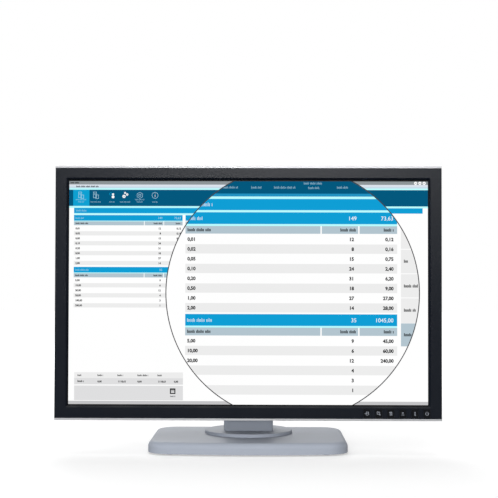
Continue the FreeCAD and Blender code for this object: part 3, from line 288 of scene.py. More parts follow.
def settled_dust() -> bpy.types.NodeTree:
    """Dust that lies on what faces up, in soft drifts.

    Returns:
        The effect's node group.
    """
    upward_range = (0.55, 1.0)
    drift_waves = 38.0
    drift_range = (0.35, 0.75)
    mote_waves = 900.0
    mote_range = (0.55, 0.75)
    mote_cover = 0.6
    graph, given, result = open_group("settled_dust", {"Vector": "Vector"}, {"Mask": "Float"})
    normal = graph.add("ShaderNodeNewGeometry").outputs["Normal"]
    upward = graph.add("ShaderNodeSeparateXYZ", {0: normal}).outputs["Z"]
    lying = graph.span(upward, *upward_range, smooth=True)
    drifts = graph.span(graph.noise(given["Vector"], drift_waves, 5.0), *drift_range)
    motes = graph.span(graph.noise(given["Vector"], mote_waves, 1.0), *mote_range)
    cover = graph.maths("MAXIMUM", drifts, graph.maths("MULTIPLY", motes, mote_cover))
    graph.feed(result, {"Mask": graph.maths("MULTIPLY", lying, cover)})
    return graph.tree


def fine_scratches() -> bpy.types.NodeTree:
    """Thin stray scratches in two directions.

    Returns:
        The effect's node group.
    """
    directions = ((1.0, 1.0, 0.03), (0.04, 1.0, 1.0))
    line_range = (0.72, 0.78)
    patch_waves = 12.0
    patch_range = (0.5, 0.7)
    graph, given, result = open_group("fine_scratches", {"Vector": "Vector", "Scale": "Float"},
                                      {"Mask": "Float"})
    lines = []
    for scale in directions:
        point = graph.stretched(given["Vector"], scale)
        lines.append(graph.span(graph.noise(point, given["Scale"], 1.0), *line_range))
    patches = graph.span(graph.noise(given["Vector"], patch_waves, 2.0), *patch_range)
    either = graph.maths("MAXIMUM", *lines)
    graph.feed(result, {"Mask": graph.maths("MULTIPLY", either, patches)})
    return graph.tree


def drawn_lines() -> bpy.types.NodeTree:
    """The close parallel lines of rolled, drawn or brushed metal.

    Returns:
        The effect's node group.
    """
    gloss_size = 0.2
    graph, given, result = open_group("drawn_lines", {"Vector": "Vector", "Scale": "Float"},
                                      {"Gloss": "Float", "Height": "Float"})
    height = graph.noise(given["Vector"], given["Scale"], 3.0)
    gloss = graph.noise(given["Vector"], graph.maths("MULTIPLY", given["Scale"], gloss_size), 2.0)
    graph.feed(result, {"Height": height, "Gloss": gloss})
    return graph.tree


def screen_raster() -> bpy.types.NodeTree:
    """The fine raster of a lit panel, and its slow drifts of light.

    Returns:
        The effect's node group.
    """
    gap_range = (0.42, 0.5)
    gap_loss = 0.03
    peak = 1.004
    cloud_waves = 5.0
    cloud_swing = 0.02
    graph, given, result = open_group("screen_raster", {"Vector": "Vector", "Pitch": "Float"},
                                      {"Glow": "Float"})
    axes = graph.add("ShaderNodeSeparateXYZ", {0: given["Vector"]}).outputs
    gaps = []
    for axis in ("X", "Z"):
        cell = graph.maths("FRACT", graph.maths("DIVIDE", axes[axis], given["Pitch"]))
        off = graph.maths("ABSOLUTE", graph.maths("SUBTRACT", cell, 0.5))
        gaps.append(graph.span(off, *gap_range))
    grid = graph.maths("MAXIMUM", *gaps)
    cloud = graph.noise(given["Vector"], cloud_waves, 1.0)
    glow = graph.maths("MULTIPLY_ADD", grid, -gap_loss, peak)
    glow = graph.maths("MULTIPLY_ADD", graph.maths("SUBTRACT", cloud, 0.5), cloud_swing, glow)
    graph.feed(result, {"Glow": glow})
    return graph.tree


EFFECTS = {build.__name__: build for build in (moulded_grain, edge_wear, settled_dust, fine_scratches,
                                               drawn_lines, screen_raster)}


# ---- Finishes

DUST = (168, 163, 154)


class Lines(Enum):
    """Which way a metal's fine lines run, as the stretch of the pattern on each axis."""

    ALONG_X = (0.03, 1.0, 1.0)
    ALONG_Z = (1.0, 1.0, 0.03)
    CAST = (1.0, 1.0, 1.0)


MATERIALS: dict["Finish", bpy.types.Material] = {}


@dataclass(frozen=True)
class Finish:
    """A finish with its name, display colour and roughness. Each kind lays its own nodes."""

    name: str
    colour: Colour
    roughness: float = 0.5

    def material(self) -> bpy.types.Material:
        """Makes the finish's material once.

        Returns:
            The material.
        """
        if self in MATERIALS:
            return MATERIALS[self]
        made = bpy.data.materials.new(self.name)
        MATERIALS[self] = made
        made.use_nodes = True
        made.node_tree.nodes.clear()
        graph = Graph(made.node_tree)
        shader = graph.add("ShaderNodeBsdfPrincipled")
        graph.add("ShaderNodeOutputMaterial", {"Surface": shader.outputs[0]})
        self.lay(graph, shader)
        return made

    def lay(self, graph: Graph, shader: bpy.types.Node) -> None:
        """Lays the nodes that feed the shader.

        Args:
            graph: The material's graph.
            shader: Its Principled shader.
        """
        raise NotImplementedError

    def lighter(self, amount: float) -> tuple[float, float, float, float]:
        """The finish's colour, moved towards white.

        Args:
            amount: How far, 0 to 1.

        Returns:
            The linear colour.
        """
        return linear(tuple(round(part + (TOP_LEVEL - part) * amount) for part in self.colour))


@dataclass(frozen=True)
class Moulding(Finish):
    """Moulded plastic or rubber, with grain, rubbed edges and a little dust."""

    grain: float = 1100.0
    depth: float = 0.012 * MM
    spread: float = 0.05
    wear: float = 0.25
    dust: float = 0.2
    specular: float = 0.5
    scratches: float = 0.1
    clear: float = 0.0
    rub: ClassVar[float] = 0.5 * MM
    worn_tint: ClassVar[float] = 0.25
    scratch_waves: ClassVar[float] = 700.0
    scratch_tint: ClassVar[float] = 0.35
    gloss_swing: ClassVar[float] = 0.10
    dust_dulls: ClassVar[float] = 0.4

    def lay(self, graph: Graph, shader: bpy.types.Node) -> None:
        """Lays grain, wear, dust and scratches.

        Args:
            graph: The material's graph.
            shader: Its Principled shader.
        """
        point = graph.place()
        grain = graph.effect("moulded_grain", {"Vector": point, "Scale": self.grain, "Spread": self.spread})
        wear = graph.effect("edge_wear", {"Vector": point, "Radius": self.rub})["Mask"]
        dust = graph.effect("settled_dust", {"Vector": point})["Mask"]
        marks = graph.effect("fine_scratches", {"Vector": point, "Scale": self.scratch_waves})["Mask"]
        dust = graph.maths("MULTIPLY", dust, self.dust)
        skin = graph.mix(1.0, linear(self.colour), grain["Tone"], "MULTIPLY")
        skin = graph.mix(graph.maths("MULTIPLY", wear, self.wear), skin, self.lighter(self.worn_tint))
        scratched = graph.maths("MULTIPLY", marks, self.scratches)
        skin = graph.mix(scratched, skin, self.lighter(self.scratch_tint))
        skin = graph.mix(dust, skin, linear(DUST))
        smoothest = self.roughness - self.gloss_swing / 2
        gloss = graph.maths("MULTIPLY_ADD", grain["Gloss"], self.gloss_swing, smoothest)
        gloss = graph.maths("MULTIPLY_ADD", wear, -self.gloss_swing * self.wear, gloss)
        gloss = graph.maths("MULTIPLY_ADD", dust, self.dust_dulls, gloss)
        bump = graph.add("ShaderNodeBump", {"Height": grain["Height"], "Distance": self.depth})
        graph.feed(shader.inputs, {"Base Color": skin, "Roughness": gloss, "Normal": bump.outputs[0],
                                   "Specular IOR Level": self.specular, "Transmission Weight": self.clear})


@dataclass(frozen=True)
class Metal(Finish):
    """Metal with drawn lines or a cast skin, bright where it is rubbed."""

    lines: Lines = Lines.ALONG_X
    pitch: float = 1500.0
    depth: float = 0.006 * MM
    metallic: float = 1.0
    spread: float = 0.08
    wear: float = 0.4
    dust: float = 0.15
    grain_waves: ClassVar[float] = 260.0
    rub: ClassVar[float] = 0.4 * MM
    worn_tint: ClassVar[float] = 0.35
    gloss_swing: ClassVar[float] = 0.16
    dust_dulls: ClassVar[float] = 0.5
    dust_covers: ClassVar[float] = 0.8

    def lay(self, graph: Graph, shader: bpy.types.Node) -> None:
        """Lays lines, rubbed edges and dust.

        Args:
            graph: The material's graph.
            shader: Its Principled shader.
        """
        point = graph.place()
        drawn = graph.effect("drawn_lines", {"Vector": graph.stretched(point, self.lines.value),
                                             "Scale": self.pitch})
        grain = graph.effect("moulded_grain", {"Vector": point, "Scale": self.grain_waves,
                                               "Spread": self.spread})
        wear = graph.effect("edge_wear", {"Vector": point, "Radius": self.rub})["Mask"]
        dust = graph.maths("MULTIPLY", graph.effect("settled_dust", {"Vector": point})["Mask"], self.dust)
        skin = graph.mix(1.0, linear(self.colour), grain["Tone"], "MULTIPLY")
        skin = graph.mix(graph.maths("MULTIPLY", wear, self.wear), skin, self.lighter(self.worn_tint))
        skin = graph.mix(dust, skin, linear(DUST))
        smoothest = self.roughness - self.gloss_swing / 2
        gloss = graph.maths("MULTIPLY_ADD", drawn["Gloss"], self.gloss_swing, smoothest)
        gloss = graph.maths("MULTIPLY_ADD", dust, self.dust_dulls, gloss)
        bare = graph.maths("MULTIPLY_ADD", dust, -self.dust_covers * self.metallic, self.metallic)
        bump = graph.add("ShaderNodeBump", {"Height": drawn["Height"], "Distance": self.depth})
        graph.feed(shader.inputs, {"Base Color": skin, "Roughness": gloss, "Metallic": bare,
                                   "Normal": bump.outputs[0]})


@dataclass(frozen=True)
class Zinc(Finish):
    """Galvanised sheet steel with its spangle of crystals."""

    spangle: float = 130.0
    spread: float = 0.16
    metallic: float = 0.95
    wear: float = 0.3
    dust: float = 0.25
    warp_waves: ClassVar[float] = 90.0
    warp_reach: ClassVar[float] = 4.0 * MM
    rub: ClassVar[float] = 0.4 * MM
    worn_tint: ClassVar[float] = 0.4
    gloss_swing: ClassVar[float] = 0.16
    dust_covers: ClassVar[float] = 0.9

    def lay(self, graph: Graph, shader: bpy.types.Node) -> None:
        """Lays the crystals, rubbed edges and dull patches.

        Args:
            graph: The material's graph.
            shader: Its Principled shader.
        """
        point = graph.place()
        warp = graph.add("ShaderNodeTexNoise", {"Vector": point, "Scale": self.warp_waves}).outputs["Color"]
        bent = graph.add("ShaderNodeVectorMath", {0: warp, 1: (self.warp_reach,) * 3, 2: point},
                         operation="MULTIPLY_ADD").outputs[0]
        crystals = graph.add("ShaderNodeTexVoronoi", {"Vector": bent, "Scale": self.spangle}).outputs["Color"]
        facet = graph.add("ShaderNodeSeparateColor", {0: crystals}).outputs[0]
        wear = graph.effect("edge_wear", {"Vector": point, "Radius": self.rub})["Mask"]
        dust = graph.maths("MULTIPLY", graph.effect("settled_dust", {"Vector": point})["Mask"], self.dust)
        tone = graph.maths("MULTIPLY_ADD", facet, self.spread, 1.0 - self.spread / 2)
        skin = graph.mix(1.0, linear(self.colour), tone, "MULTIPLY")
        skin = graph.mix(graph.maths("MULTIPLY", wear, self.wear), skin, self.lighter(self.worn_tint))
        skin = graph.mix(dust, skin, linear(DUST))
        smoothest = self.roughness - self.gloss_swing / 2
        gloss = graph.maths("MULTIPLY_ADD", facet, self.gloss_swing, smoothest)
        bare = graph.maths("MULTIPLY_ADD", dust, -self.dust_covers, self.metallic)
        graph.feed(shader.inputs, {"Base Color": skin, "Roughness": gloss, "Metallic": bare})


@dataclass(frozen=True)
class Laminate(Finish):
    """Circuit board: green solder mask over copper traces, with tinned pads."""

    trace_pitch: float = 2.4 * MM
    pad_pitch: float = 3.0 * MM
    dust: float = 0.3
    tin: ClassVar[Colour] = (196, 194, 186)
    turn_waves: ClassVar[float] = 45.0
    trace_share: ClassVar[float] = 0.4
    trace_cover: ClassVar[float] = 0.5
    trace_tint: ClassVar[float] = 0.22
    trace_dulls: ClassVar[float] = 0.1
    pad_reach: ClassVar[float] = 0.22
    pad_metal: ClassVar[float] = 0.9

    def lay(self, graph: Graph, shader: bpy.types.Node) -> None:
        """Lays the traces and the pads.

        Args:
            graph: The material's graph.
            shader: Its Principled shader.
        """
        point = graph.place()
        axes = graph.add("ShaderNodeSeparateXYZ", {0: point}).outputs
        across = graph.maths("FRACT", graph.maths("DIVIDE", axes["X"], self.trace_pitch))
        along = graph.maths("FRACT", graph.maths("DIVIDE", axes["Z"], self.trace_pitch))
        sideways = graph.maths("GREATER_THAN", graph.noise(point, self.turn_waves, 0.0), 0.5)
        line = graph.add("ShaderNodeMix", {0: sideways, 2: across, 3: along}, data_type="FLOAT").outputs[0]
        trace = graph.maths("LESS_THAN", line, self.trace_share)
        pads = graph.add("ShaderNodeTexVoronoi", {"Vector": point, "Scale": 1 / self.pad_pitch})
        pad = graph.maths("LESS_THAN", pads.outputs["Distance"], self.pad_reach)
        dust = graph.maths("MULTIPLY", graph.effect("settled_dust", {"Vector": point})["Mask"], self.dust)
        covered = graph.maths("MULTIPLY", trace, self.trace_cover)
        skin = graph.mix(covered, linear(self.colour), self.lighter(self.trace_tint))
        skin = graph.mix(pad, skin, linear(self.tin))
        skin = graph.mix(dust, skin, linear(DUST))
        bare = graph.maths("MULTIPLY", pad, self.pad_metal)
        gloss = graph.maths("MULTIPLY_ADD", trace, self.trace_dulls, self.roughness)
        graph.feed(shader.inputs, {"Base Color": skin, "Metallic": bare, "Roughness": gloss})


@dataclass(frozen=True)
class Pane(Finish):
    """The dark front glass of a panel, with an anti-glare skin."""

    grain: float = 2500.0
    spread: float = 0.06
    gloss_swing: float = 0.08
    specular: float = 0.25

    def lay(self, graph: Graph, shader: bpy.types.Node) -> None:
        """Lays the faint unevenness of the anti-glare skin.

        Args:
            graph: The material's graph.
            shader: Its Principled shader.
        """
        point = graph.place()
        grain = graph.effect("moulded_grain", {"Vector": point, "Scale": self.grain, "Spread": self.spread})
        skin = graph.mix(1.0, linear(self.colour), grain["Tone"], "MULTIPLY")
        gloss = graph.maths("MULTIPLY_ADD", grain["Gloss"], self.gloss_swing, self.roughness)
        graph.feed(shader.inputs, {"Base Color": skin, "Roughness": gloss,
                                   "Specular IOR Level": self.specular})


@dataclass(frozen=True)
class Ink(Finish):
    """One colour of the lit picture."""

    pitch: float = 0.27 * MM
    specular: float = 0.01

    def lay(self, graph: Graph, shader: bpy.types.Node) -> None:
        """Lays the light of the raster over a black ground.

        Args:
            graph: The material's graph.
            shader: Its Principled shader.
        """
        glow = graph.effect("screen_raster", {"Vector": graph.place(), "Pitch": self.pitch})["Glow"]
        graph.feed(shader.inputs, {"Emission Color": graph.mix(1.0, linear(self.colour), glow, "MULTIPLY"),
                                   "Emission Strength": 1.0, "Base Color": (0.0, 0.0, 0.0, 1.0),
                                   "Roughness": self.roughness, "Specular IOR Level": self.specular})


BLACK_CASE = Moulding("black_case_plastic", (12, 17, 26), 0.32, depth=0.006 * MM, spread=0.06, wear=0.15,
                      dust=0.08)
KEY_BLACK = Moulding("key_cap_plastic", (7, 9, 14), 0.4, depth=0.004 * MM, wear=0.05, specular=0.35)
SILVER_CASE = Moulding("silver_painted_plastic", (147, 153, 164), 0.52, grain=1600.0, depth=0.006 * MM,
                       spread=0.05, wear=0.2, dust=0.08, specular=0.3)
DARK_CASE = Moulding("dark_case_plastic", (34, 36, 42), 0.5, dust=0.12)
PLATE_GREY = Moulding("bare_plate_film", (150, 152, 156), 0.4, grain=2200.0, depth=0.004 * MM, dust=0.1)

SLOT_FINISHES: dict[str, Finish] = {
    "black_plastic": BLACK_CASE,
    "key_plastic": KEY_BLACK,
    "silver_trim": Metal("silver_trim_strip", (206, 207, 210), 0.34, pitch=1800.0, depth=0.003 * MM,
                         metallic=0.5, spread=0.03, wear=0.2, dust=0.1),
    "silver_plastic": SILVER_CASE,
    "dark_plastic": DARK_CASE,
    "glass": Pane("anti_glare_glass", (9, 9, 11), 0.28),
    "white_plastic": Moulding("white_frame_plastic", (222, 222, 218), 0.5, dust=0.1),
    "nylon": Moulding("nylon_moulding", (226, 222, 208), 0.45, grain=600.0, dust=0.1),
    "clear_acrylic": Moulding("acrylic_guide", (238, 242, 244), 0.08, depth=0.001 * MM, wear=0.05, dust=0.05,
                              clear=0.9),
    "optical_film": Moulding("film_stack", (236, 238, 240), 0.3, depth=0.002 * MM, wear=0.0, dust=0.0,
                             clear=0.3),
    "lamp_glass": Moulding("lamp_tube_glass", (244, 244, 238), 0.12, depth=0.001 * MM, wear=0.0, dust=0.0),
    "galvanised_steel": Zinc("zinc_coated_sheet", (176, 179, 183), 0.42),
    "bare_steel": Metal("plain_steel", (168, 170, 172), 0.30, lines=Lines.ALONG_Z),
    "spring_steel": Metal("blued_spring_steel", (118, 122, 132), 0.26, spread=0.12),
    "black_steel": Metal("painted_black_steel", (30, 31, 34), 0.46, lines=Lines.CAST, pitch=700.0,
                         depth=0.03 * MM, metallic=0.3),
    "cast_iron": Metal("rough_cast_iron", (62, 61, 60), 0.62, lines=Lines.CAST, pitch=420.0, depth=0.15 * MM,
                       metallic=0.7, spread=0.2, dust=0.3),
    "rubber": Moulding("foot_rubber", (26, 26, 27), 0.8, grain=500.0, depth=0.03 * MM, wear=0.1),
    "circuit_board": Laminate("green_laminate", (22, 74, 48), 0.32),
    "components": Moulding("component_bodies", (44, 44, 46), 0.4, spread=0.3),
}

WHITE = Ink("ink_white", (255, 255, 255))
SOFT_WHITE = Ink("ink_soft_white", (176, 218, 236))
PALE_BLUE = Ink("ink_pale_blue", (188, 253, 255))
MENU_BLUE = Ink("ink_menu_blue", (221, 228, 238))
RIBBON_BLUE = Ink("ink_ribbon_blue", (200, 221, 234))
TITLE_GREY = Ink("ink_title_grey", (142, 149, 152))
TEAL = Ink("ink_teal", (2, 88, 125))
TAB_BLUE = Ink("ink_tab_blue", (12, 161, 210))
MID_BLUE = Ink("ink_mid_blue", (33, 145, 193))
BAR_BLUE = Ink("ink_bar_blue", (14, 158, 213))
HEAD_GREY = Ink("ink_head_grey", (179, 197, 207))
BAND_GREY = Ink("ink_band_grey", (237, 237, 237))
FOOT_GREY = Ink("ink_foot_grey", (223, 223, 224))
STATUS_GREY = Ink("ink_status_grey", (195, 195, 197))
TEXT_GREY = Ink("ink_text_grey", (84, 88, 94))
TEXT_DARK = Ink("ink_text_dark", (20, 21, 24))
RIM_GREY = Ink("ink_rim_grey", (66, 66, 68))


# ---- Meshes

def paint(thing: bpy.types.Object, finish: Finish) -> None:
    """Gives an object one finish.

    Args:
        thing: The object.
        finish: Its finish.
    """
    if not thing.data.materials:
        thing.data.materials.append(None)
    for index in range(len(thing.data.materials)):
        thing.data.materials[index] = finish.material()


def settle(shape: bmesh.types.BMesh, name: str, body: str, finish: Finish,
           smooth: bool = False) -> bpy.types.Object:
    """Makes a finished object of a bmesh and rides it on its body.

    Args:
        shape: The piece's mesh, in its place. It is freed.
        name: The object's name.
        body: The body that it moves with.
        finish: Its finish.
        smooth: Whether its curved faces are shaded smooth.

    Returns:
        The object.
    """
    mesh = bpy.data.meshes.new(name)
    shape.to_mesh(mesh)
    shape.free()
    if smooth:
        mesh.shade_smooth()
        mesh.set_sharp_from_angle(angle=SMOOTH_LIMIT)
    thing = bpy.data.objects.new(name, mesh)
    bpy.context.scene.collection.objects.link(thing)
    paint(thing, finish)
    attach(thing, body)
    log.info("%s: %d faces on %s", name, len(mesh.polygons), body)
    return thing


def absorb(shape: bmesh.types.BMesh, part: bmesh.types.BMesh, place: Matrix) -> None:
    """Adds one bmesh to another.

    Args:
        shape: The bmesh that grows.
        part: The bmesh that is added. It is freed.
        place: Where it goes.
    """
    mesh = bpy.data.meshes.new("part")
    part.to_mesh(mesh)
    part.free()
    mesh.transform(place)
    shape.from_mesh(mesh)
    bpy.data.meshes.remove(mesh)


def turned(profile: list[tuple[float, float]], steps: int = 28) -> bmesh.types.BMesh:
    """Turns a profile round Z, as on a lathe.

    Args:
        profile: The radius and the height of each point, from the axis at the top to the axis below.
        steps: The faces round the axis.

    Returns:
        The turned shape.
    """
    shape = bmesh.new()
    points = [shape.verts.new((radius, 0.0, height)) for radius, height in profile]
    edges = [shape.edges.new(pair) for pair in zip(points, points[1:])]
    bmesh.ops.spin(shape, geom=points + edges, axis=(0, 0, 1), cent=(0, 0, 0), angle=math.tau, steps=steps,
                   use_merge=True)
    bmesh.ops.remove_doubles(shape, verts=shape.verts, dist=1e-6)
    bmesh.ops.recalc_face_normals(shape, faces=shape.faces)
    return shape


def arc(inner: float, outer: float, steps: int, start: float = 0.0, angle: float = math.tau
        ) -> bmesh.types.BMesh:
    """A flat ring about the origin, or a part of one.

    Args:
        inner: Its inner radius.
        outer: Its outer radius.
        steps: The faces round the axis.
        start: Where it starts, in radians from X.
        angle: How far it goes round.

    Returns:
        The ring.
    """
    shape = bmesh.new()
    ends = [shape.verts.new((radius, 0.0, 0.0)) for radius in (inner, outer)]
    bmesh.ops.rotate(shape, verts=ends, cent=(0, 0, 0), matrix=Matrix.Rotation(start, 3, "Z"))
    bmesh.ops.spin(shape, geom=[*ends, shape.edges.new(ends)], cent=(0, 0, 0), axis=(0, 0, 1),
                   angle=angle, steps=steps, use_merge=angle == math.tau)
    return shape


def thicken(flat: bmesh.types.BMesh, thick: float) -> None:
    """Raises a flat form along Z to a closed one.

    Args:
        flat: The form.
        thick: Its thickness.
    """
    raised = bmesh.ops.extrude_face_region(flat, geom=flat.faces[:])["geom"]
    bmesh.ops.translate(flat, verts=[v for v in raised if isinstance(v, bmesh.types.BMVert)],
                        vec=(0.0, 0.0, thick))
    bmesh.ops.recalc_face_normals(flat, faces=flat.faces)


def plate(width: float, height: float, thick: float, corner: float) -> bmesh.types.BMesh:
    """A flat plate about the origin, face up, with rounded corners and a softened front edge.

    Args:
        width: Its size along X.
        height: Its size along Y.
        thick: Its thickness, from 0 up.
        corner: The radius of its corners.

    Returns:
        The plate.
    """
    shape = bmesh.new()
    bmesh.ops.create_grid(shape, x_segments=1, y_segments=1, size=0.5,
                          matrix=Matrix.Diagonal((width, height, 1.0, 1.0)))
    bmesh.ops.bevel(shape, geom=shape.verts[:], affect="VERTICES", offset=corner, segments=5, profile=0.5,
                    material=-1)
    thicken(shape, thick)
    rim = [e for e in shape.edges if all(v.co.z > thick / 2 for v in e.verts)]
    bmesh.ops.bevel(shape, geom=rim, affect="EDGES", offset=min(thick, corner) * 0.3, segments=2, profile=0.5,
                    material=-1)
    return shape


# ---- Sub-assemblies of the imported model

@dataclass
class Assembly:
    """A group of bodies that are dressed together."""

    bodies: ClassVar[tuple[str, ...]] = ()

    def dress(self) -> None:
        """Gives each carried node the finish of its material slot."""
        slots = {part["node"]: part["material_slot"] for part in frame["record"]["subparts"]}
        for body in self.bodies:
            for node in frame["record"]["behaviour"]["bodies"][body]:
                paint(frame["nodes"][node], SLOT_FINISHES[slots[node]])
                log.info("%s: %s", node, slots[node])

    def build(self) -> None:
        """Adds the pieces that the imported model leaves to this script."""


@dataclass
class Foot(Assembly):
    """The weighted base."""

    bodies: ClassVar[tuple[str, ...]] = ("base",)


@dataclass
class Column(Assembly):
    """The column, its turntable and its lock."""

    bodies: ClassVar[tuple[str, ...]] = ("column", "lift_lock")


@dataclass
class Carriage(Assembly):
    """The slider and the tilting arm."""

    bodies: ClassVar[tuple[str, ...]] = ("carriage",)


@dataclass
class Head(Assembly):
    """The head with its case, screws, sockets and plate."""

    bodies: ClassVar[tuple[str, ...]] = ("head", "stand_release")
    screw_radius: float = 3.8 * MM
    screw_head: float = 2.4 * MM
    screw_turns: tuple[float, float] = (40.0, 25.0)     # radians per metre across and up
    shank_share: float = 0.51    # of the head's radius
    recess_length: float = 1.1   # of the head's radius
    recess_taper: float = 0.6    # the recess's floor, as a share of its mouth
    recess_arm: float = 0.9 * MM
    recess_depth: float = 1.3 * MM
    plate_width: float = 80.0 * MM
    plate_height: float = 40.0 * MM
    plate_thick: float = 0.3 * MM
    plate_corner: float = 2.0 * MM
    plate_end: float = 0.27      # where the plate ends, as a share of the cover's width
    plate_drop: float = 0.19     # how far below the middle it sits, as a share of the cover's height
    digital_width: float = 37.0 * MM
    digital_columns: int = 8
    analogue_width: float = 31.0 * MM
    analogue_columns: int = 5
    rows: int = 3
    end_walls: float = 11.0 * MM     # what is left of a socket beside its insert, at both ends together
    side_walls: float = 8.6 * MM     # and at both sides together
    insert_thick: float = 0.3 * MM
    insert_corner: float = 0.8 * MM
    # The socket holes and the long slot are painted shade: thin dark plates that stand just out of each
    # insert, sized and spaced here.
    contact: float = 1.1 * MM
    contact_height: float = 0.7      # of its width
    contact_pitch: float = 2.2 * MM
    row_pitch: float = 1.1 * MM
    contact_thick: float = 0.05 * MM
    contact_lift: float = 0.02 * MM
    contact_corner: float = 0.2 * MM
    blade: tuple[float, float] = (3.6 * MM, 0.8 * MM)
    blade_place: float = 0.29    # from the socket's middle, as a share of its width
    blade_shift: float = -2.4 * MM

    def build(self) -> None:
        """Adds the screws, the plate and the socket inserts."""
        self.cover_screws()
        self.bare_plate()
        self.socket_inserts()

    def screw(self, radius: float, head: float, length: float) -> bmesh.types.BMesh:
        """One screw with a cross recess in its low round head, along Z with the head on top.

        Args:
            radius: The head's radius.
            head: The head's height.
            length: The whole length.

        Returns:
            The screw.
        """
        shank = radius * self.shank_share
        shape = turned([(0.0, head), (radius * 0.5, head * 0.97), (radius * 0.82, head * 0.8),
                        (radius, head * 0.45), (radius, 0.0), (shank, 0.0), (shank, head - length),
                        (0.0, head - length)])
        cross = bmesh.new()
        for long_x in (True, False):
            size = (radius * self.recess_length, self.recess_arm, self.recess_depth * 2)
            size = size if long_x else (size[1], size[0], size[2])
            place = Matrix.Translation((0.0, 0.0, head)) @ Matrix.Diagonal((*size, 1.0))
            arm = bmesh.ops.create_cube(cross, size=1.0, matrix=place)["verts"]
            low = [v for v in arm if v.co.z < head]
            bmesh.ops.scale(cross, verts=low, vec=(self.recess_taper, self.recess_taper, 1.0))
        return self.cut(shape, cross)

    def cut(self, shape: bmesh.types.BMesh, tool: bmesh.types.BMesh) -> bmesh.types.BMesh:
        """Takes one closed shape out of another.

        Args:
            shape: The shape that is cut. It is freed.
            tool: The shape that is taken out. It is freed.

        Returns:
            What is left.
        """
        things = []
        for name, part in (("stock", shape), ("cutter", tool)):
            mesh = bpy.data.meshes.new(name)
            part.to_mesh(mesh)
            part.free()
            things.append(bpy.data.objects.new(name, mesh))
            bpy.context.scene.collection.objects.link(things[-1])
        stock, cutter = things
        boolean = stock.modifiers.new("recess", "BOOLEAN")
        boolean.object = cutter
        boolean.solver = "EXACT"
        boolean.use_self = True
        result = bmesh.new()
        depsgraph = bpy.context.evaluated_depsgraph_get()
        result.from_object(stock, depsgraph)
        for thing in things:
            bpy.data.meshes.remove(thing.data)
        return result

    def cover_screws(self) -> None:
        """Puts detailed screws in place of the four plain ones in the cover's wells."""
        low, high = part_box("rear_cover_screws")
        radius = self.screw_radius
        screw = self.screw(radius, self.screw_head, high.y - low.y)
        model = bpy.data.meshes.new("screw")
        screw.to_mesh(model)
        screw.free()
        shape = bmesh.new()
        for x in (low.x + radius, high.x - radius):
            for z in (low.z + radius, high.z - radius):
                spin = Matrix.Rotation(x * self.screw_turns[0] + z * self.screw_turns[1], 4, "Z")
                copy = model.copy()
                copy.transform(Matrix.Translation((x, high.y - self.screw_head, z)) @ FACE_BACK @ spin)
                shape.from_mesh(copy)
                bpy.data.meshes.remove(copy)
        bpy.data.meshes.remove(model)
        piece = settle(shape, "cross_recess_screws", "head", SLOT_FINISHES["bare_steel"], True)
        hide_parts("rear_cover_screws")

    def bare_plate(self) -> None:
        """Adds the plate on the back, with nothing printed on it."""
        low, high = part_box("rear_cover")
        x = low.x + (high.x - low.x) * self.plate_end - self.plate_width / 2
        z = low.z + (high.z - low.z) * (0.5 - self.plate_drop)
        shape = plate(self.plate_width, self.plate_height, self.plate_thick, self.plate_corner)
        shape.transform(Matrix.Translation((x, high.y, z)) @ FACE_BACK)
        settle(shape, "bare_plate", "head", PLATE_GREY)

    def socket_inserts(self) -> None:
        """Adds the inserts to the two signal sockets, with thin dark plates of painted shade where their
        holes are.
        """
        low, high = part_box("signal_sockets")
        depth = high.y - low.y
        body = bmesh.new()
        holes = bmesh.new()
        out = -self.insert_thick - self.contact_lift
        for left, width, columns, blade in (
                (low.x, self.digital_width, self.digital_columns, True),
                (high.x - self.analogue_width, self.analogue_width, self.analogue_columns, False)):
            middle = Vector((left + width / 2, (low.y + high.y) / 2, low.z))
            insert = plate(width - self.end_walls, depth - self.side_walls, self.insert_thick,
                           self.insert_corner)
            absorb(body, insert, Matrix.Translation(middle) @ FACE_DOWN)
            shift = self.blade_shift if blade else 0.0
            # Each hole is painted shade: a thin dark plate, and no hole is cut.
            for column in range(columns):
                for row in range(self.rows):
                    offset = Vector((shift + (column - (columns - 1) / 2) * self.contact_pitch,
                                     (row - (self.rows - 1) / 2) * self.row_pitch, out))
                    dot = plate(self.contact, self.contact * self.contact_height, self.contact_thick,
                                self.contact_corner)
                    absorb(holes, dot, Matrix.Translation(middle + offset) @ FACE_DOWN)
            if blade:
                offset = Vector((width * self.blade_place, 0.0, out))
                gap = plate(*self.blade, self.contact_thick, self.contact_corner)
                absorb(holes, gap, Matrix.Translation(middle + offset) @ FACE_DOWN)
        settle(body, "socket_inserts", "head", SLOT_FINISHES["white_plastic"])
        # The dark plastic finish on these plates is painted shade for the holes.
        settle(holes, "socket_hole_shade", "head", DARK_CASE)


# ---- Keys

class Mark(Enum):
    """The symbol on each front key, by the key's node."""

    INPUT = "input_key"
    WINDOW = "window_key"
    MENU = "menu_key"
    DOWN = "down_key"
    UP = "up_key"
    POWER = "power_key"


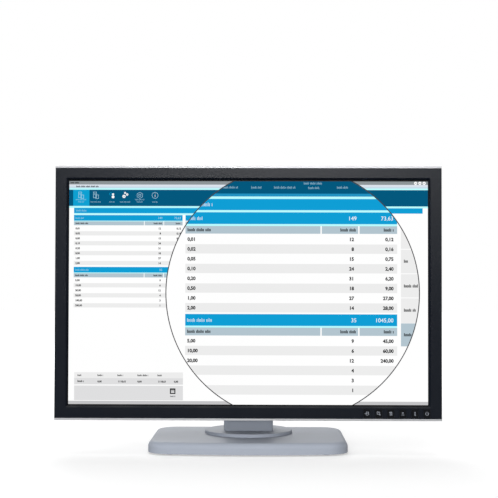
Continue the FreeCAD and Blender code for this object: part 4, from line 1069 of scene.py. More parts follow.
@dataclass
class KeyRow(Assembly):
    """The six front keys with their printed symbols."""

    bodies: ClassVar[tuple[str, ...]] = tuple(f"{mark.value}_cap" for mark in Mark)
    symbol: float = 6.0 * MM
    symbol_drop: float = 6.0 * MM
    stroke: float = 0.7 * MM
    print_thick: float = 0.05 * MM
    finish: ClassVar[Finish] = Moulding("symbol_print", (126, 130, 139), 0.5, grain=3000.0, spread=0.1,
                                        depth=0.002 * MM, wear=0.3, dust=0.0, scratches=0.3)

    def build(self) -> None:
        """Prints each key's symbol on its cap."""
        drawings = {Mark.INPUT: self.input_mark, Mark.WINDOW: self.window_mark, Mark.MENU: self.menu_mark,
                    Mark.DOWN: self.down_mark, Mark.UP: self.up_mark, Mark.POWER: self.power_mark}
        for mark, draw in drawings.items():
            flat = bmesh.new()
            draw(flat)
            low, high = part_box(mark.value)
            thicken(flat, self.print_thick)
            cap_z = high.z - self.symbol_drop
            flat.transform(Matrix.Translation(((low.x + high.x) / 2, low.y, cap_z)) @ FACE_FRONT)
            settle(flat, f"{mark.value}_symbol", f"{mark.value}_cap", self.finish)

    def bar(self, flat: bmesh.types.BMesh, x: float, y: float, length: float, turn: float = 0.0,
            width: float = 1.0) -> None:
        """Adds one straight stroke.

        Args:
            flat: The symbol's mesh.
            x: Its middle, as a share of the symbol's size.
            y: Its middle, as a share of the symbol's size.
            length: Its length, as a share of the symbol's size.
            turn: Its angle in degrees.
            width: Its width, in strokes.
        """
        place = (Matrix.Translation((x * self.symbol, y * self.symbol, 0.0))
                 @ Matrix.Rotation(math.radians(turn), 4, "Z")
                 @ Matrix.Diagonal((length * self.symbol, self.stroke * width, 1.0, 1.0)))
        bmesh.ops.create_grid(flat, x_segments=1, y_segments=1, size=0.5, matrix=place)

    def arrow(self, flat: bmesh.types.BMesh, x: float, y: float, size: float, turn: float) -> None:
        """Adds a filled triangle.

        Args:
            flat: The symbol's mesh.
            x: Its middle, as a share of the symbol's size.
            y: Its middle, as a share of the symbol's size.
            size: Its reach, as a share of the symbol's size.
            turn: Where it points, in degrees to the left of straight up.
        """
        place = (Matrix.Translation((x * self.symbol, y * self.symbol, 0.0))
                 @ Matrix.Rotation(math.radians(turn), 4, "Z"))
        bmesh.ops.create_circle(flat, cap_ends=True, segments=3, radius=size * self.symbol, matrix=place)

    def box(self, flat: bmesh.types.BMesh, x: float, y: float, width: float, height: float) -> None:
        """Adds the outline of a rectangle.

        Args:
            flat: The symbol's mesh.
            x: Its middle, as a share of the symbol's size.
            y: Its middle, as a share of the symbol's size.
            width: Its width, as a share of the symbol's size.
            height: Its height, as a share of the symbol's size.
        """
        for side in (-1, 1):
            self.bar(flat, x, y + side * height / 2, width)
            self.bar(flat, x + side * width / 2, y, height - self.stroke / self.symbol, 90.0)

    def input_mark(self, flat: bmesh.types.BMesh) -> None:
        """An arrow into a frame.

        Args:
            flat: The symbol's mesh.
        """
        self.box(flat, 0.14, 0.0, 0.6, 0.72)
        self.bar(flat, -0.3, 0.0, 0.4)
        self.arrow(flat, 0.02, 0.0, 0.2, -90.0)

    def window_mark(self, flat: bmesh.types.BMesh) -> None:
        """A frame with a small arrow below its corner."""
        self.box(flat, -0.1, 0.12, 0.62, 0.5)
        self.arrow(flat, 0.26, -0.28, 0.2, 180.0)

    def menu_mark(self, flat: bmesh.types.BMesh) -> None:
        """A list of three lines with its heading.

        Args:
            flat: The symbol's mesh.
        """
        self.bar(flat, -0.06, 0.34, 0.7, 0.0, 1.3)
        for row in range(3):
            self.bar(flat, 0.06, 0.12 - row * 0.22, 0.62)

    def down_mark(self, flat: bmesh.types.BMesh) -> None:
        """A triangle that points down over a minus."""
        self.arrow(flat, 0.0, 0.18, 0.26, 180.0)
        self.bar(flat, 0.0, -0.32, 0.6)

    def up_mark(self, flat: bmesh.types.BMesh) -> None:
        """A triangle that points up over a plus.

        Args:
            flat: The symbol's mesh.
        """
        self.arrow(flat, 0.0, 0.22, 0.26, 0.0)
        self.bar(flat, 0.0, -0.3, 0.48)
        self.bar(flat, 0.0, -0.3, 0.48, 90.0)

    def power_mark(self, flat: bmesh.types.BMesh) -> None:
        """An open ring with a bar in its gap.

        Args:
            flat: The symbol's mesh.
        """
        radius = self.symbol * 0.36
        ring = arc(radius - self.stroke / 2, radius + self.stroke / 2, 20, math.radians(130.0),
                   math.radians(280.0))
        absorb(flat, ring, Matrix.Identity(4))
        self.bar(flat, 0.0, 0.3, 0.4, 90.0)


# ---- Picture

class Layer(Enum):
    """The layers of the picture, as steps in front of their own ground."""

    GROUND = 1
    BLOCK = 2
    PANEL = 3
    MARK = 4


class Side(Enum):
    """The side that a number is set against."""

    LEFT = "LEFT"
    RIGHT = "RIGHT"


class Canvas:
    """The lit area as a drawing board, in millimetres from its top left corner.

    Words are rows of strokes, whose sizes are shares of the low strokes' height.
    """

    step: ClassVar[float] = 0.08
    dark_stroke: ClassVar[float] = 0.32
    pale_stroke: ClassVar[float] = 0.15
    pale_inks: ClassVar[tuple[Ink, ...]] = (WHITE, SOFT_WHITE)
    tall_stroke: ClassVar[float] = 1.35
    tall_turns: ClassVar[tuple[int, ...]] = (0, 5, 8)
    tall_cycle: ClassVar[int] = 11
    stroke_pitch: ClassVar[float] = 0.46
    word_pitch: ClassVar[float] = 0.95
    word_strokes: ClassVar[int] = 7
    swell: ClassVar[float] = 0.045    # how much a bold digit is thickened, as a share of its font's size

    def __init__(self, corner: Vector, lift: float = 0.0) -> None:
        """Starts an empty board.

        Args:
            corner: The top left corner of the lit area, on the glass.
            lift: How far the board stands in front of the glass, in millimetres.
        """
        self.corner = corner
        self.lift = lift
        self.sheets: dict[tuple[Ink, Layer], bmesh.types.BMesh] = {}

    def sheet(self, ink: Ink, layer: Layer) -> bmesh.types.BMesh:
        """The mesh of one ink on one layer, made when it is first asked for.

        Args:
            ink: The ink.
            layer: The layer.

        Returns:
            The mesh, which grows as forms are added.
        """
        if (ink, layer) not in self.sheets:
            self.sheets[(ink, layer)] = bmesh.new()
        return self.sheets[(ink, layer)]

    def spot(self, u: float, v: float, layer: Layer) -> Matrix:
        """Carries a flat form in millimetres to its place on the board.

        Args:
            u: The place of the form's middle, from the left.
            v: The place of the form's middle, from the top.
            layer: The layer that it lies on.

        Returns:
            The move.
        """
        out = self.lift + layer.value * self.step
        place = self.corner + Vector((u, -out, -v)) * MM
        return Matrix.Translation(place) @ FACE_FRONT @ Matrix.Scale(MM, 4)

    def holds(self, u: float, v: float) -> bool:
        """Whether a number may stand at a place."""
        return True

    def patch(self, ink: Ink, layer: Layer, left: float, top: float, right: float, bottom: float) -> None:
        """Adds a flat rectangle.

        Args:
            ink: Its colour.
            layer: Its layer.
            left: Its left edge.
            top: Its top edge.
            right: Its right edge.
            bottom: Its bottom edge.
        """
        size = Matrix.Diagonal((right - left, bottom - top, 1.0, 1.0))
        bmesh.ops.create_grid(self.sheet(ink, layer), x_segments=1, y_segments=1, size=0.5,
                              matrix=self.spot((left + right) / 2, (top + bottom) / 2, layer) @ size)

    def disc(self, ink: Ink, layer: Layer, u: float, v: float, radius: float, sides: int = 24,
             turn: float = 0.0) -> None:
        """Adds a filled disc or an even polygon.

        Args:
            ink: Its colour.
            layer: Its layer.
            u: Its middle, from the left.
            v: Its middle, from the top.
            radius: Its radius.
            sides: The number of its sides.
            turn: Its angle in degrees.
        """
        place = self.spot(u, v, layer) @ Matrix.Rotation(math.radians(turn), 4, "Z")
        bmesh.ops.create_circle(self.sheet(ink, layer), cap_ends=True, segments=sides, radius=radius,
                                matrix=place)

    def outline(self, ink: Ink, left: float, top: float, right: float, bottom: float, line: float) -> None:
        """Adds the outline of a rectangle.

        Args:
            ink: Its colour.
            left: Its left edge.
            top: Its top edge.
            right: Its right edge.
            bottom: Its bottom edge.
            line: The width of its line.
        """
        for sides in ((left, top, right, top + line), (left, bottom - line, right, bottom),
                      (left, top + line, left + line, bottom - line),
                      (right - line, top + line, right, bottom - line)):
            self.patch(ink, Layer.MARK, *sides)

    def ring(self, ink: Ink, u: float, v: float, radius: float, line: float, sides: int = 24,
             turn: float = 0.0) -> None:
        """Adds the outline of a disc or an even polygon.

        Args:
            ink: Its colour.
            u: Its middle, from the left.
            v: Its middle, from the top.
            radius: Its outer radius.
            line: The width of its line.
            sides: The number of its sides.
            turn: Its angle in degrees.
        """
        shape = arc(radius - line, radius, sides)
        spin = Matrix.Rotation(math.radians(turn), 4, "Z")
        absorb(self.sheet(ink, Layer.MARK), shape, self.spot(u, v, Layer.MARK) @ spin)

    def words(self, ink: Ink, left: float, right: float, v: float, height: float) -> None:
        """Adds a row of upright strokes in place of words, grouped as words are.

        Args:
            ink: Their colour.
            left: Where the row starts.
            right: Where it ends.
            v: The middle of its height.
            height: The height of a low stroke.
        """
        foot = v + height / 2
        stroke = height * (self.pale_stroke if ink in self.pale_inks else self.dark_stroke)
        start = left
        turn = 0
        while start < right - stroke:
            rise = height * (self.tall_stroke if turn % self.tall_cycle in self.tall_turns else 1.0)
            self.patch(ink, Layer.MARK, start, foot - rise, start + stroke, foot)
            turn += 1
            start += height * (self.stroke_pitch if turn % self.word_strokes else self.word_pitch)

    def number(self, ink: Ink, text: str, u: float, v: float, height: float, side: Side,
               bold: bool = True) -> None:
        """Adds a number.

        Args:
            ink: Its colour.
            text: The digits.
            u: The side that it is set against.
            v: The middle of its height.
            height: The height of a digit.
            side: Which side it is set against.
            bold: Whether its strokes are thickened.
        """
        if not self.holds(u, v):
            return
        font = bpy.data.curves.new("digits", "FONT")
        font.body = text
        font.size = height / DIGIT_SHARE
        font.offset = self.swell * font.size if bold else 0.0
        font.align_x = side.value
        font.resolution_u = 3
        holder = bpy.data.objects.new("digits", font)
        mesh = bpy.data.meshes.new_from_object(holder)
        mesh.transform(self.spot(u, v + height / 2, Layer.MARK))
        self.sheet(ink, Layer.MARK).from_mesh(mesh)
        bpy.data.meshes.remove(mesh)
        bpy.data.curves.remove(font)

    def settle(self, prefix: str) -> None:
        """Makes one object of each ink on each layer.

        Args:
            prefix: The start of the objects' names.
        """
        for (ink, layer), shape in self.sheets.items():
            bmesh.ops.reverse_faces(shape, faces=[f for f in shape.faces if f.normal.y > 0])
            sheet = settle(shape, f"{prefix}_{ink.name}_{layer.name.lower()}", "head", ink)
            sheet.visible_diffuse = False
            sheet.visible_glossy = False


class RoundCanvas(Canvas):
    """A board inside a circle, which cuts off what lies outside it."""

    sides: ClassVar[int] = 180

    def __init__(self, corner: Vector, lift: float, size: tuple[float, float], middle: tuple[float, float],
                 radius: float) -> None:
        """Starts an empty round board.

        Args:
            corner: The top left corner of the lit area, on the glass.
            lift: How far the board stands in front of the glass.
            size: The lit area's width and height.
            middle: The circle's middle.
            radius: The circle's radius.
        """
        super().__init__(corner, lift)
        self.size = size
        self.middle = middle
        self.radius = radius

    def holds(self, u: float, v: float) -> bool:
        """Whether a place is inside the circle."""
        return math.hypot(u - self.middle[0], v - self.middle[1]) < self.radius

    def trim(self, shape: bmesh.types.BMesh, left: float, top: float, right: float, bottom: float) -> None:
        """Cuts a flat form about the circle's middle to a rectangle.

        Args:
            shape: The form.
            left: The rectangle's left edge.
            top: The rectangle's top edge.
            right: The rectangle's right edge.
            bottom: The rectangle's bottom edge.
        """
        u, v = self.middle
        for point, outward in (((left - u, 0, 0), (-1, 0, 0)), ((right - u, 0, 0), (1, 0, 0)),
                               ((0, v - top, 0), (0, 1, 0)), ((0, v - bottom, 0), (0, -1, 0))):
            bmesh.ops.bisect_plane(shape, geom=shape.verts[:] + shape.edges[:] + shape.faces[:],
                                   plane_co=point, plane_no=outward, clear_outer=True)

    def patch(self, ink: Ink, layer: Layer, left: float, top: float, right: float, bottom: float) -> None:
        """Adds the part of a rectangle that lies in the circle.

        Args:
            ink: Its colour.
            layer: Its layer.
            left: Its left edge.
            top: Its top edge.
            right: Its right edge.
            bottom: Its bottom edge.
        """
        shape = bmesh.new()
        bmesh.ops.create_circle(shape, cap_ends=True, segments=self.sides, radius=self.radius)
        self.trim(shape, max(left, 0.0), max(top, 0.0), min(right, self.size[0]), min(bottom, self.size[1]))
        absorb(self.sheet(ink, layer), shape, self.spot(*self.middle, layer))

    def rim(self, ink: Ink, width: float) -> None:
        """Adds the thin line round the circle.

        Args:
            ink: Its colour.
            width: Its width.
        """
        shape = arc(self.radius, self.radius + width, self.sides)
        self.trim(shape, 0.0, 0.0, *self.size)
        absorb(self.sheet(ink, Layer.MARK), shape, self.spot(*self.middle, Layer.MARK))


def money(amount: float) -> str:
    """Writes an amount with two decimals after a comma."""
    return f"{amount:.2f}".replace(".", ",")


COINS = ((0.01, 12), (0.02, 8), (0.05, 15), (0.10, 24), (0.20, 31), (0.50, 18), (1.00, 27), (2.00, 14))
NOTES = ((5.00, 9), (10.00, 6), (20.00, 12), (50.00, 4), (100.00, 3), (200.00, 1))


@dataclass(frozen=True)
class Tally:
    """A table of counted money: what each row is worth, how many there are and their sum.

    Places are in millimetres on the board. The constants are in heights of a digit.
    """

    rows: tuple[tuple[float, int], ...]
    left: float
    right: float
    head: tuple[float, float]
    titles: tuple[float, float]
    first: float
    pitch: float
    band: float
    digit: float
    name_u: float
    count_u: float
    value_u: float
    gaps: tuple[float, float]
    head_words: float
    label: Ink
    head_digit: ClassVar[float] = 1.2
    head_count_shift: ClassVar[float] = 0.8
    head_word_drop: ClassVar[float] = 0.2
    head_word_height: ClassVar[float] = 0.75
    title_drop: ClassVar[float] = 0.1
    title_height: ClassVar[float] = 0.7
    title_words: ClassVar[tuple[tuple[float, float], ...]] = ((0.0, 7.0), (-3.9, 4.5), (-2.8, 3.0))
    gap_half: ClassVar[float] = 0.2

    def bars(self, canvas: Canvas, left: float, right: float) -> None:
        """Draws the grounds of the header and of the column titles.

        Args:
            canvas: The board.
            left: Their left edge.
            right: Their right edge.
        """
        canvas.patch(BAR_BLUE, Layer.BLOCK, left, self.head[0], right, self.head[1])
        canvas.patch(HEAD_GREY, Layer.BLOCK, left, self.titles[0], right, self.titles[1])

    def stripe(self, canvas: Canvas, index: int, left: float, right: float) -> float:
        """Draws the ground of a row, which is grey in every second one.

        Args:
            canvas: The board.
            index: The row's place in the table.
            left: Its left edge.
            right: Its right edge.

        Returns:
            The middle of the row's height.
        """
        v = self.first + index * self.pitch
        if index % 2:
            canvas.patch(BAND_GREY, Layer.BLOCK, left, v - self.band / 2, right, v + self.band / 2)
        return v

    def draw(self, canvas: Canvas) -> None:
        """Draws the header, the column titles and the rows.

        Args:
            canvas: The board.
        """
        head_v = sum(self.head) / 2
        title_v = sum(self.titles) / 2 + self.digit * self.title_drop
        self.bars(canvas, self.left, self.right)
        canvas.patch(PALE_BLUE, Layer.BLOCK, self.left, self.head[1], self.right, self.titles[0])
        canvas.words(self.label, self.name_u, self.name_u + self.digit * self.head_words,
                     head_v + self.digit * self.head_word_drop, self.digit * self.head_word_height)
        count = sum(number for _, number in self.rows)
        total = sum(worth * number for worth, number in self.rows)
        count_u = self.count_u + self.digit * self.head_count_shift
        for text, u in ((str(count), count_u), (money(total), self.value_u)):
            canvas.number(self.label, text, u, head_v, self.digit * self.head_digit, Side.RIGHT, bold=False)
        for u, (shift, length) in zip((self.name_u, self.count_u, self.value_u), self.title_words):
            left = u + self.digit * shift
            canvas.words(TEXT_DARK, left, left + self.digit * length, title_v,
                         self.digit * self.title_height)
        half = self.digit * self.gap_half
        for u in self.gaps:
            canvas.patch(WHITE, Layer.PANEL, u - half, self.titles[0], u + half, self.titles[1])
        for index, (worth, number) in enumerate(self.rows):
            v = self.stripe(canvas, index, self.left, self.right)
            canvas.number(TEXT_DARK, money(worth), self.name_u, v, self.digit, Side.LEFT)
            canvas.number(TEXT_DARK, str(number), self.count_u, v, self.digit, Side.RIGHT)
            canvas.number(TEXT_DARK, money(worth * number), self.value_u, v, self.digit, Side.RIGHT)


Row = tuple[float, float, float, float]
Bars = tuple[tuple[Ink, float], ...]


@dataclass
class Picture(Assembly):
    """The lit picture: a page of counted money, and a round view that enlarges a part of it.

    Sizes are in millimetres. A Row of words is its left and right end, the middle of its height and the
    height of its low strokes. Bars are inks, each with the foot of its bar.
    """

    width: float = 519.2
    height: float = 322.6
    drop: float = 1.0
    glass_margin: float = 7.0
    margin: float = 8.5
    column: float = 164.5
    column_gap: float = 4.2
    line: float = 0.5

    tool_top: ClassVar[float] = 12.5
    title_bars: ClassVar[Bars] = ((TITLE_GREY, 4.9), (MENU_BLUE, 7.8), (RIBBON_BLUE, 10.2),
                                  (PALE_BLUE, tool_top))
    title_rows: ClassVar[tuple[Row, ...]] = ((1.6, 14.6, 2.5, 1.8), (10.0, 43.0, 8.0, 1.9))
    buttons: tuple[float, ...] = (501.5, 507.7, 513.9)
    button_v: float = 2.5
    button: float = 2.3
    button_dash: tuple[float, float] = (1.2, 0.4)

    tool_foot: float = 36.1
    tab: tuple[float, float] = (5.6, 29.2)
    icon: float = 5.0
    icon_v: float = 20.6
    label_v: float = 30.3
    label_pitch: float = 3.3
    label_height: float = 1.4
    bar_left: float = 6.9
    bar_inset: float = 7.5
    bar_top: float = 38.8
    bar_foot: float = 46.5
    bar_under: float = 48.8
    bar_row: ClassVar[Row] = (10.0, 26.0, 43.0, 2.2)

    foot_right: float = 165.8
    foot_blocks: ClassVar[tuple[tuple[Ink, float, float], ...]] = (
        (BAND_GREY, 276.6, 285.0), (FOOT_GREY, 285.0, 294.2), (FOOT_GREY, 295.8, 316.9))
    status_top: float = 317.8
    sum_titles: ClassVar[tuple[Row, ...]] = (
        (13.3, 19.1, 281.2, 2.0), (42.2, 50.6, 281.2, 2.0), (71.1, 79.5, 281.2, 2.0),
        (100.0, 115.5, 281.2, 2.0), (129.0, 136.7, 281.2, 2.0), (13.3, 23.6, 289.8, 2.3))
    sums_u: tuple[float, ...] = (42.2, 71.8, 100.0, 129.6, 152.8)
    sums_v: float = 289.8
    sum_digit: float = 2.6
    save: tuple[float, float] = (151.0, 303.6)
    save_row: ClassVar[Row] = (147.5, 155.0, 311.2, 1.6)

    middle: tuple[float, float] = (323.8, 161.7)
    radius: float = 182.4
    rim: float = 1.4
    view_lift: int = 5
    view_bars: ClassVar[Bars] = ((TEAL, 17.8), (MID_BLUE, 22.0), (PALE_BLUE, 44.9))
    view_bar: tuple[float, float] = (25.5, 41.8)
    view_row: ClassVar[Row] = (192.0, 208.0, 34.2, 4.0)
    view_labels: ClassVar[tuple[Row, ...]] = (
        (223.0, 245.0, 9.2, 2.5), (264.0, 279.0, 9.2, 2.5), (297.0, 328.0, 9.2, 2.5),
        (340.0, 368.0, 3.2, 2.5), (346.5, 362.0, 9.8, 2.5), (388.0, 403.5, 9.2, 2.5))

    side_left: float = 480.2
    side: tuple[float, float] = (64.0, 204.6)
    side_foot: tuple[float, float] = (205.0, 238.1)
    side_gaps: tuple[float, ...] = (98.0, 133.4, 168.2)
    side_gap_half: float = 0.6
    side_rows: ClassVar[tuple[Row, ...]] = (
        (484.5, 491.3, 115.8, 3.4), (484.5, 505.5, 151.6, 3.4), (484.5, 502.5, 186.5, 3.4),
        (484.5, 500.5, 221.9, 3.4))

    def build(self) -> None:
        """Draws both parts and makes their objects."""
        low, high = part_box("panel_glass")
        top = high.z - (self.glass_margin + self.drop) * MM
        corner = Vector((-self.width / 2 * MM, low.y, top))
        page = Canvas(corner)
        self.title(page)
        self.toolbar(page)
        self.tables(page)
        self.footer(page)
        page.settle("page")
        view = RoundCanvas(corner, self.view_lift * Canvas.step, (self.width, self.height), self.middle,
                           self.radius)
        self.view_head(view)
        self.view_tables(view)
        self.view_side(view)
        view.rim(RIM_GREY, self.rim)
        view.settle("view")

    def stack(self, board: Canvas, top: float, bars: Bars) -> None:
        """Draws bars of the full width, each below the last.

        Args:
            board: The board.
            top: Where the first one starts.
            bars: The bars.
        """
        for ink, foot in bars:
            board.patch(ink, Layer.BLOCK, 0.0, top, self.width, foot)
            top = foot

    def title(self, page: Canvas) -> None:
        """Draws the window's title bar and menus.

        Args:
            page: The board.
        """
        page.patch(WHITE, Layer.GROUND, 0.0, 0.0, self.width, self.height)
        self.stack(page, 0.0, self.title_bars)
        for row in self.title_rows:
            page.words(TEXT_DARK, *row)
        half_width, half_height = self.button_dash
        for u in self.buttons:
            page.disc(WHITE, Layer.PANEL, u, self.button_v, self.button, 20)
            page.patch(TITLE_GREY, Layer.MARK, u - half_width, self.button_v - half_height,
                       u + half_width, self.button_v + half_height)

    def toolbar(self, page: Canvas) -> None:
        """Draws the toolbar with its tab, icons and labels, and the bar below it.

        Args:
            page: The board.
        """
        self.stack(page, self.tool_top, ((TEAL, self.tool_foot), (PALE_BLUE, self.bar_top)))
        page.patch(TAB_BLUE, Layer.PANEL, self.tab[0], self.tool_top, self.tab[1], self.tool_foot)
        page.patch(BAR_BLUE, Layer.BLOCK, self.bar_left, self.bar_top, self.width - self.bar_inset,
                   self.bar_foot)
        page.patch(PALE_BLUE, Layer.BLOCK, self.bar_left, self.bar_foot, self.column * 2, self.bar_under)
        page.words(SOFT_WHITE, *self.bar_row)
        tools = ((17.0, self.sheet_icon, (8.0, 14.5)), (38.6, self.sheet_icon, (15.0,)),
                 (62.0, self.person_icon, (7.5,)), (81.4, self.gears_icon, (15.5,)),
                 (102.3, self.shield_icon, (8.5, 13.5)), (124.4, self.ring_icon, (7.5,)))
        for u, draw, lengths in tools:
            draw(page, u, self.icon_v)
            for line, length in enumerate(lengths):
                page.words(SOFT_WHITE, u - length / 2, u + length / 2, self.label_v - line * self.label_pitch,
                           self.label_height)

    def sheet_icon(self, page: Canvas, u: float, v: float) -> None:
        """Two sheets of paper that overlap, with two lines on the upper left one.

        Args:
            page: The board.
            u: The icon's middle, from the left.
            v: The icon's middle, from the top.
        """
        size = self.icon
        page.outline(SOFT_WHITE, u - size * 0.75, v - size, u + size * 0.2, v + size * 0.75, self.line)
        page.outline(SOFT_WHITE, u - size * 0.1, v - size * 0.15, u + size * 0.8, v + size, self.line)
        for step in (-0.6, -0.25):
            page.patch(SOFT_WHITE, Layer.MARK, u - size * 0.5, v + size * step, u - size * 0.05,
                       v + size * step + self.line)

    def person_icon(self, page: Canvas, u: float, v: float) -> None:
        """A round head over its shoulders, and a ring for a second head behind.

        Args:
            page: The board.
            u: The icon's middle, from the left.
            v: The icon's middle, from the top.
        """
        page.ring(TAB_BLUE, u - self.icon * 0.4, v - self.icon * 0.4, self.icon * 0.4, self.line)
        page.disc(WHITE, Layer.MARK, u + self.icon * 0.3, v - self.icon * 0.3, self.icon * 0.3)
        page.disc(WHITE, Layer.MARK, u + self.icon * 0.3, v + self.icon * 0.45, self.icon * 0.45, 6, 30.0)

    def gears_icon(self, page: Canvas, u: float, v: float) -> None:
        """Three toothed wheels, each of two crossed hexagons with an open hub.

        Args:
            page: The board.
            u: The icon's middle, from the left.
            v: The icon's middle, from the top.
        """
        for du, dv, share in ((-0.4, 0.3, 0.5), (0.5, -0.25, 0.36), (-0.1, -0.7, 0.3)):
            hub = (u + du * self.icon, v + dv * self.icon)
            size = share * self.icon
            for turn in (0.0, 30.0):
                page.disc(WHITE, Layer.PANEL, *hub, size, 6, turn)
            page.disc(TEAL, Layer.MARK, *hub, size * 0.3, 12)

    def shield_icon(self, page: Canvas, u: float, v: float) -> None:
        """A shield: an outline of six sides round a smaller frame.

        Args:
            page: The board.
            u: The icon's middle, from the left.
            v: The icon's middle, from the top.
        """
        size = self.icon
        page.ring(SOFT_WHITE, u, v, size * 0.95, self.line, 6, 30.0)
        page.outline(SOFT_WHITE, u - size * 0.35, v - size * 0.35, u + size * 0.35, v + size * 0.3, self.line)

    def ring_icon(self, page: Canvas, u: float, v: float) -> None:
        """A ring round a bar and a dot.

        Args:
            page: The board.
            u: The icon's middle, from the left.
            v: The icon's middle, from the top.
        """
        page.ring(SOFT_WHITE, u, v, self.icon * 0.92, self.line)
        page.patch(WHITE, Layer.MARK, u - self.line * 0.6, v - 0.6, u + self.line * 0.6, v + 2.4)
        page.disc(WHITE, Layer.MARK, u, v - 2.0, self.line * 0.8, 12)

    def tables(self, page: Canvas) -> None:
        """Draws the two small tables, and the start of their neighbour.

        Args:
            page: The board.
        """
        sizes = {"left": self.bar_left, "right": self.column, "band": 6.2, "digit": 2.7, "name_u": 9.3,
                 "count_u": 133.1, "value_u": 162.2, "gaps": (109.0, 137.2), "label": SOFT_WHITE}
        coins = Tally(COINS, head=(49.2, 57.4), titles=(58.4, 64.1), first=68.6, pitch=7.18, head_words=4.3,
                      **sizes)
        notes = Tally(NOTES, head=(124.4, 132.5), titles=(133.6, 139.6), first=143.7, pitch=7.27,
                      head_words=7.1, **sizes)
        coins.draw(page)
        notes.draw(page)
        left = self.column + self.column_gap
        right = left + self.column - self.margin
        coins.bars(page, left, right)
        for index in range(len(COINS)):
            coins.stripe(page, index, left, right)

    def footer(self, page: Canvas) -> None:
        """Draws the sums, the save block and the status bar.

        Args:
            page: The board.
        """
        for ink, top, foot in self.foot_blocks:
            page.patch(ink, Layer.BLOCK, self.margin, top, self.foot_right, foot)
        page.patch(STATUS_GREY, Layer.BLOCK, 0.0, self.status_top, self.width, self.height)
        for row in self.sum_titles:
            page.words(TEXT_DARK, *row)
        total = sum(worth * number for worth, number in COINS + NOTES)
        for u, amount in zip(self.sums_u, (0.0, total, 0.0, total, 0.0)):
            page.number(TEXT_DARK, money(amount), u, self.sums_v, self.sum_digit, Side.LEFT)
        self.save_icon(page, *self.save)
        page.words(TEXT_GREY, *self.save_row)

    def save_icon(self, page: Canvas, u: float, v: float) -> None:
        """A dark tray with a pale sheet in it.

        Args:
            page: The board.
            u: The icon's middle, from the left.
            v: The icon's middle, from the top.
        """
        half = self.icon * 0.8
        page.patch(TEXT_DARK, Layer.PANEL, u - half, v - half, u + half, v + half)
        page.patch(FOOT_GREY, Layer.MARK, u - half * 0.62, v - half * 0.45, u + half * 0.62, v - half * 0.2)
        page.patch(FOOT_GREY, Layer.MARK, u - half * 0.62, v, u + half * 0.62, v + half * 0.6)

    def view_head(self, view: Canvas) -> None:
        """Draws the enlarged toolbar and the bar below it.

        Args:
            view: The round board.
        """
        view.patch(WHITE, Layer.GROUND, 0.0, 0.0, self.width, self.height)
        self.stack(view, 0.0, self.view_bars)
        view.patch(BAR_BLUE, Layer.PANEL, 0.0, self.view_bar[0], self.width, self.view_bar[1])
        view.words(WHITE, *self.view_row)
        for row in self.view_labels:
            view.words(SOFT_WHITE, *row)

    def view_tables(self, view: Canvas) -> None:
        """Draws the two enlarged tables.

        Args:
            view: The round board.
        """
        sizes = {"left": 168.7, "right": 474.8, "band": 13.5, "digit": 5.0, "pitch": 14.17, "name_u": 171.7,
                 "count_u": 412.4, "value_u": 469.5, "gaps": (365.0, 419.5), "label": WHITE}
        Tally(COINS, head=(44.9, 61.9), titles=(64.8, 75.9), first=83.8, head_words=4.3, **sizes).draw(view)
        Tally(NOTES, head=(192.1, 209.0), titles=(211.5, 223.1), first=230.6, head_words=7.1,
              **sizes).draw(view)

    def view_side(self, view: Canvas) -> None:
        """Draws the panel beside the enlarged tables.

        Args:
            view: The round board.
        """
        for ink, (top, foot) in ((BAND_GREY, self.side), (HEAD_GREY, self.side_foot)):
            view.patch(ink, Layer.BLOCK, self.side_left, top, self.width, foot)
        for v in self.side_gaps:
            view.patch(WHITE, Layer.PANEL, self.side_left, v - self.side_gap_half, self.width,
                       v + self.side_gap_half)
        for row in self.side_rows:
            view.words(TEXT_DARK, *row)


# ---- Studio

@dataclass(frozen=True)
class Lamp:
    """A soft square lamp: its place, what it is aimed at, its side and its power in watts."""

    name: str
    place: tuple[float, float, float]
    aim: tuple[float, float, float]
    side: float
    power: float
    mirrored: bool = True


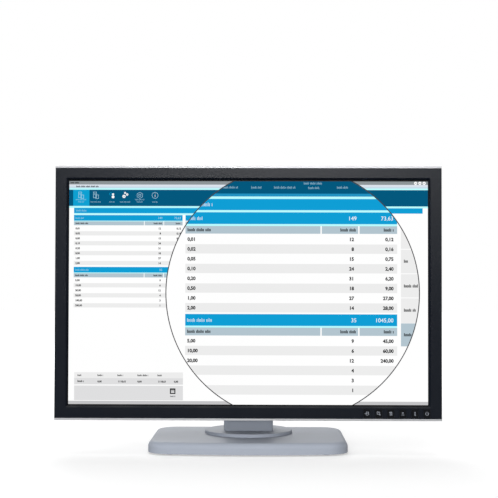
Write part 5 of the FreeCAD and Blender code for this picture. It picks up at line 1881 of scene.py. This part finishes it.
@dataclass
class Studio:
    """The floor, the light and the camera.

    In reflections, what lies before the object is dark and what lies behind it is white.
    """

    floor_side: float = 16.0
    floor_colour: Colour = (206, 206, 206)
    floor_tone: tuple[float, float] = (0.97, 1.0)
    floor_waves: float = 3.0
    floor_roughness: float = 0.9
    floor_specular: float = 0.1
    # Painted reflection: the colour of the floor before the object, as gloss rays alone see it.
    dark_floor: Colour = (40, 40, 42)
    dark_reach: tuple[float, float] = (0.05, -0.15)
    bright_reach: tuple[float, float] = (0.0, 0.6)
    floor_near_glow: float = 0.46
    floor_far_glow: float = 0.85
    floor_fade: tuple[float, float] = (0.5, 2.4)
    ambient: float = 0.5
    glow_range: tuple[float, float] = (-0.4, 0.5)
    front_glow: float = 0.03
    back_glow: float = 1.0
    eye: tuple[float, float, float] = (0.020, -1.886, 0.252)
    target: tuple[float, float, float] = (0.0012, -0.086, 0.2962)
    lens: float = 90.25
    sensor: float = 36.0
    roll: float = 0.13
    lamps: ClassVar[tuple[Lamp, ...]] = (
        Lamp("key_lamp", (0.12, -3.56, 1.56), (0.0, 0.0, 0.25), 1.0, 37.5),
        Lamp("front_lamp", (-0.3, -2.40, 0.23), (0.0, 0.0, 0.10), 0.4, 32.0, mirrored=False),
        Lamp("left_lamp", (-2.30, -1.60, 1.30), (0.0, 0.0, 0.2), 1.4, 14.0),
        Lamp("top_lamp", (0.0, 0.2, 2.6), (0.0, 0.0, 0.0), 2.0, 16.0),
        Lamp("back_lamp", (-0.5, 2.4, 1.9), (0.0, 0.0, 0.25), 1.5, 30.0),
    )

    def build(self) -> None:
        """Sets the whole studio."""
        self.floor()
        self.world()
        for lamp in self.lamps:
            self.light(lamp)
        self.camera()

    def floor(self) -> None:
        """Lays the pale floor, which keeps the object's shadow. Its colour in reflections is painted: dark
        before the object and glowing white behind it.
        """
        material = bpy.data.materials.new("studio_floor")
        material.use_nodes = True
        graph = Graph(material.node_tree)
        shader = material.node_tree.nodes["Principled BSDF"]
        point = graph.place()
        tone = graph.span(graph.noise(point, self.floor_waves, 2.0), 0.0, 1.0, *self.floor_tone)
        coat = graph.mix(1.0, linear(self.floor_colour), tone, "MULTIPLY")
        reach = graph.add("ShaderNodeVectorMath", {0: point}, operation="LENGTH").outputs["Value"]
        glow = graph.span(reach, *self.floor_fade, self.floor_near_glow, self.floor_far_glow, smooth=True)
        behind = graph.add("ShaderNodeSeparateXYZ", {0: point}).outputs["Y"]
        path = graph.add("ShaderNodeLightPath").outputs
        # Painted reflection: gloss rays see the floor before the object dark and the floor behind it glowing
        # white, while the camera sees it pale.
        before = graph.maths("MULTIPLY", path["Is Glossy Ray"], graph.span(behind, *self.dark_reach))
        mirrored = graph.maths("MULTIPLY", path["Is Glossy Ray"], graph.span(behind, *self.bright_reach))
        seen = graph.maths("MAXIMUM", path["Is Camera Ray"], path["Is Transmission Ray"])
        seen = graph.maths("MAXIMUM", seen, mirrored)
        graph.feed(shader.inputs, {"Base Color": graph.mix(before, coat, linear(self.dark_floor)),
                                   "Emission Strength": graph.maths("MULTIPLY", seen, glow),
                                   "Emission Color": (1.0, 1.0, 1.0, 1.0),
                                   "Roughness": self.floor_roughness,
                                   "Specular IOR Level": self.floor_specular})
        shape = bmesh.new()
        bmesh.ops.create_grid(shape, x_segments=8, y_segments=8, size=self.floor_side / 2)
        mesh = bpy.data.meshes.new("floor")
        shape.to_mesh(mesh)
        shape.free()
        mesh.materials.append(material)
        floor = bpy.data.objects.new("floor", mesh)
        bpy.context.scene.collection.objects.link(floor)

    def world(self) -> None:
        """Sets the even light from all sides, which the camera sees as white."""
        world = bpy.data.worlds.new("studio")
        world.use_nodes = True
        bpy.context.scene.world = world
        graph = Graph(world.node_tree)
        background = world.node_tree.nodes["Background"]
        path = graph.add("ShaderNodeLightPath").outputs
        direction = graph.add("ShaderNodeTexCoord").outputs["Generated"]
        depth = graph.add("ShaderNodeSeparateXYZ", {0: direction}).outputs["Y"]
        mirrored = graph.span(depth, *self.glow_range, self.front_glow, self.back_glow, smooth=True)
        strength = graph.add("ShaderNodeMix", {0: path["Is Glossy Ray"], 2: self.ambient, 3: mirrored},
                             data_type="FLOAT").outputs[0]
        seen = graph.maths("MAXIMUM", path["Is Camera Ray"], path["Is Transmission Ray"])
        strength = graph.add("ShaderNodeMix", {0: seen, 2: strength, 3: 1.0}, data_type="FLOAT").outputs[0]
        graph.feed(background.inputs, {"Color": (1.0, 1.0, 1.0, 1.0), "Strength": strength})

    def light(self, lamp: Lamp) -> None:
        """Hangs one soft lamp, which the camera doesn't see.

        Args:
            lamp: The lamp.
        """
        data = bpy.data.lights.new(lamp.name, "AREA")
        data.shape = "SQUARE"
        data.size = lamp.side
        data.energy = lamp.power
        holder = bpy.data.objects.new(lamp.name, data)
        holder.location = lamp.place
        aim = Vector(lamp.aim) - Vector(lamp.place)
        holder.rotation_euler = aim.to_track_quat("-Z", "Y").to_euler()
        holder.visible_camera = False
        holder.visible_glossy = lamp.mirrored
        bpy.context.scene.collection.objects.link(holder)

    def camera(self) -> None:
        """Sets the camera square before the screen, a little below its middle."""
        data = bpy.data.cameras.new("camera")
        data.lens = self.lens
        data.sensor_width = self.sensor
        holder = bpy.data.objects.new("camera", data)
        eye = Vector(self.eye)
        look = (Vector(self.target) - eye).to_track_quat("-Z", "Y").to_matrix().to_4x4()
        tip = Matrix.Rotation(math.radians(self.roll), 4, "Z")
        holder.matrix_world = Matrix.Translation(eye) @ look @ tip
        bpy.context.scene.collection.objects.link(holder)
        bpy.context.scene.camera = holder


def main() -> None:
    """Builds and dresses the sub-assemblies from the foot up, then sets the studio."""
    logging.basicConfig(level=logging.INFO, format="%(name)s: %(message)s")
    bpy.context.scene.view_settings.view_transform = "Standard"
    for assembly in (Foot(), Column(), Carriage(), Head(), KeyRow(), Picture()):
        assembly.dress()
        assembly.build()
    Studio().build()


if __name__ == "__main__":
    main()
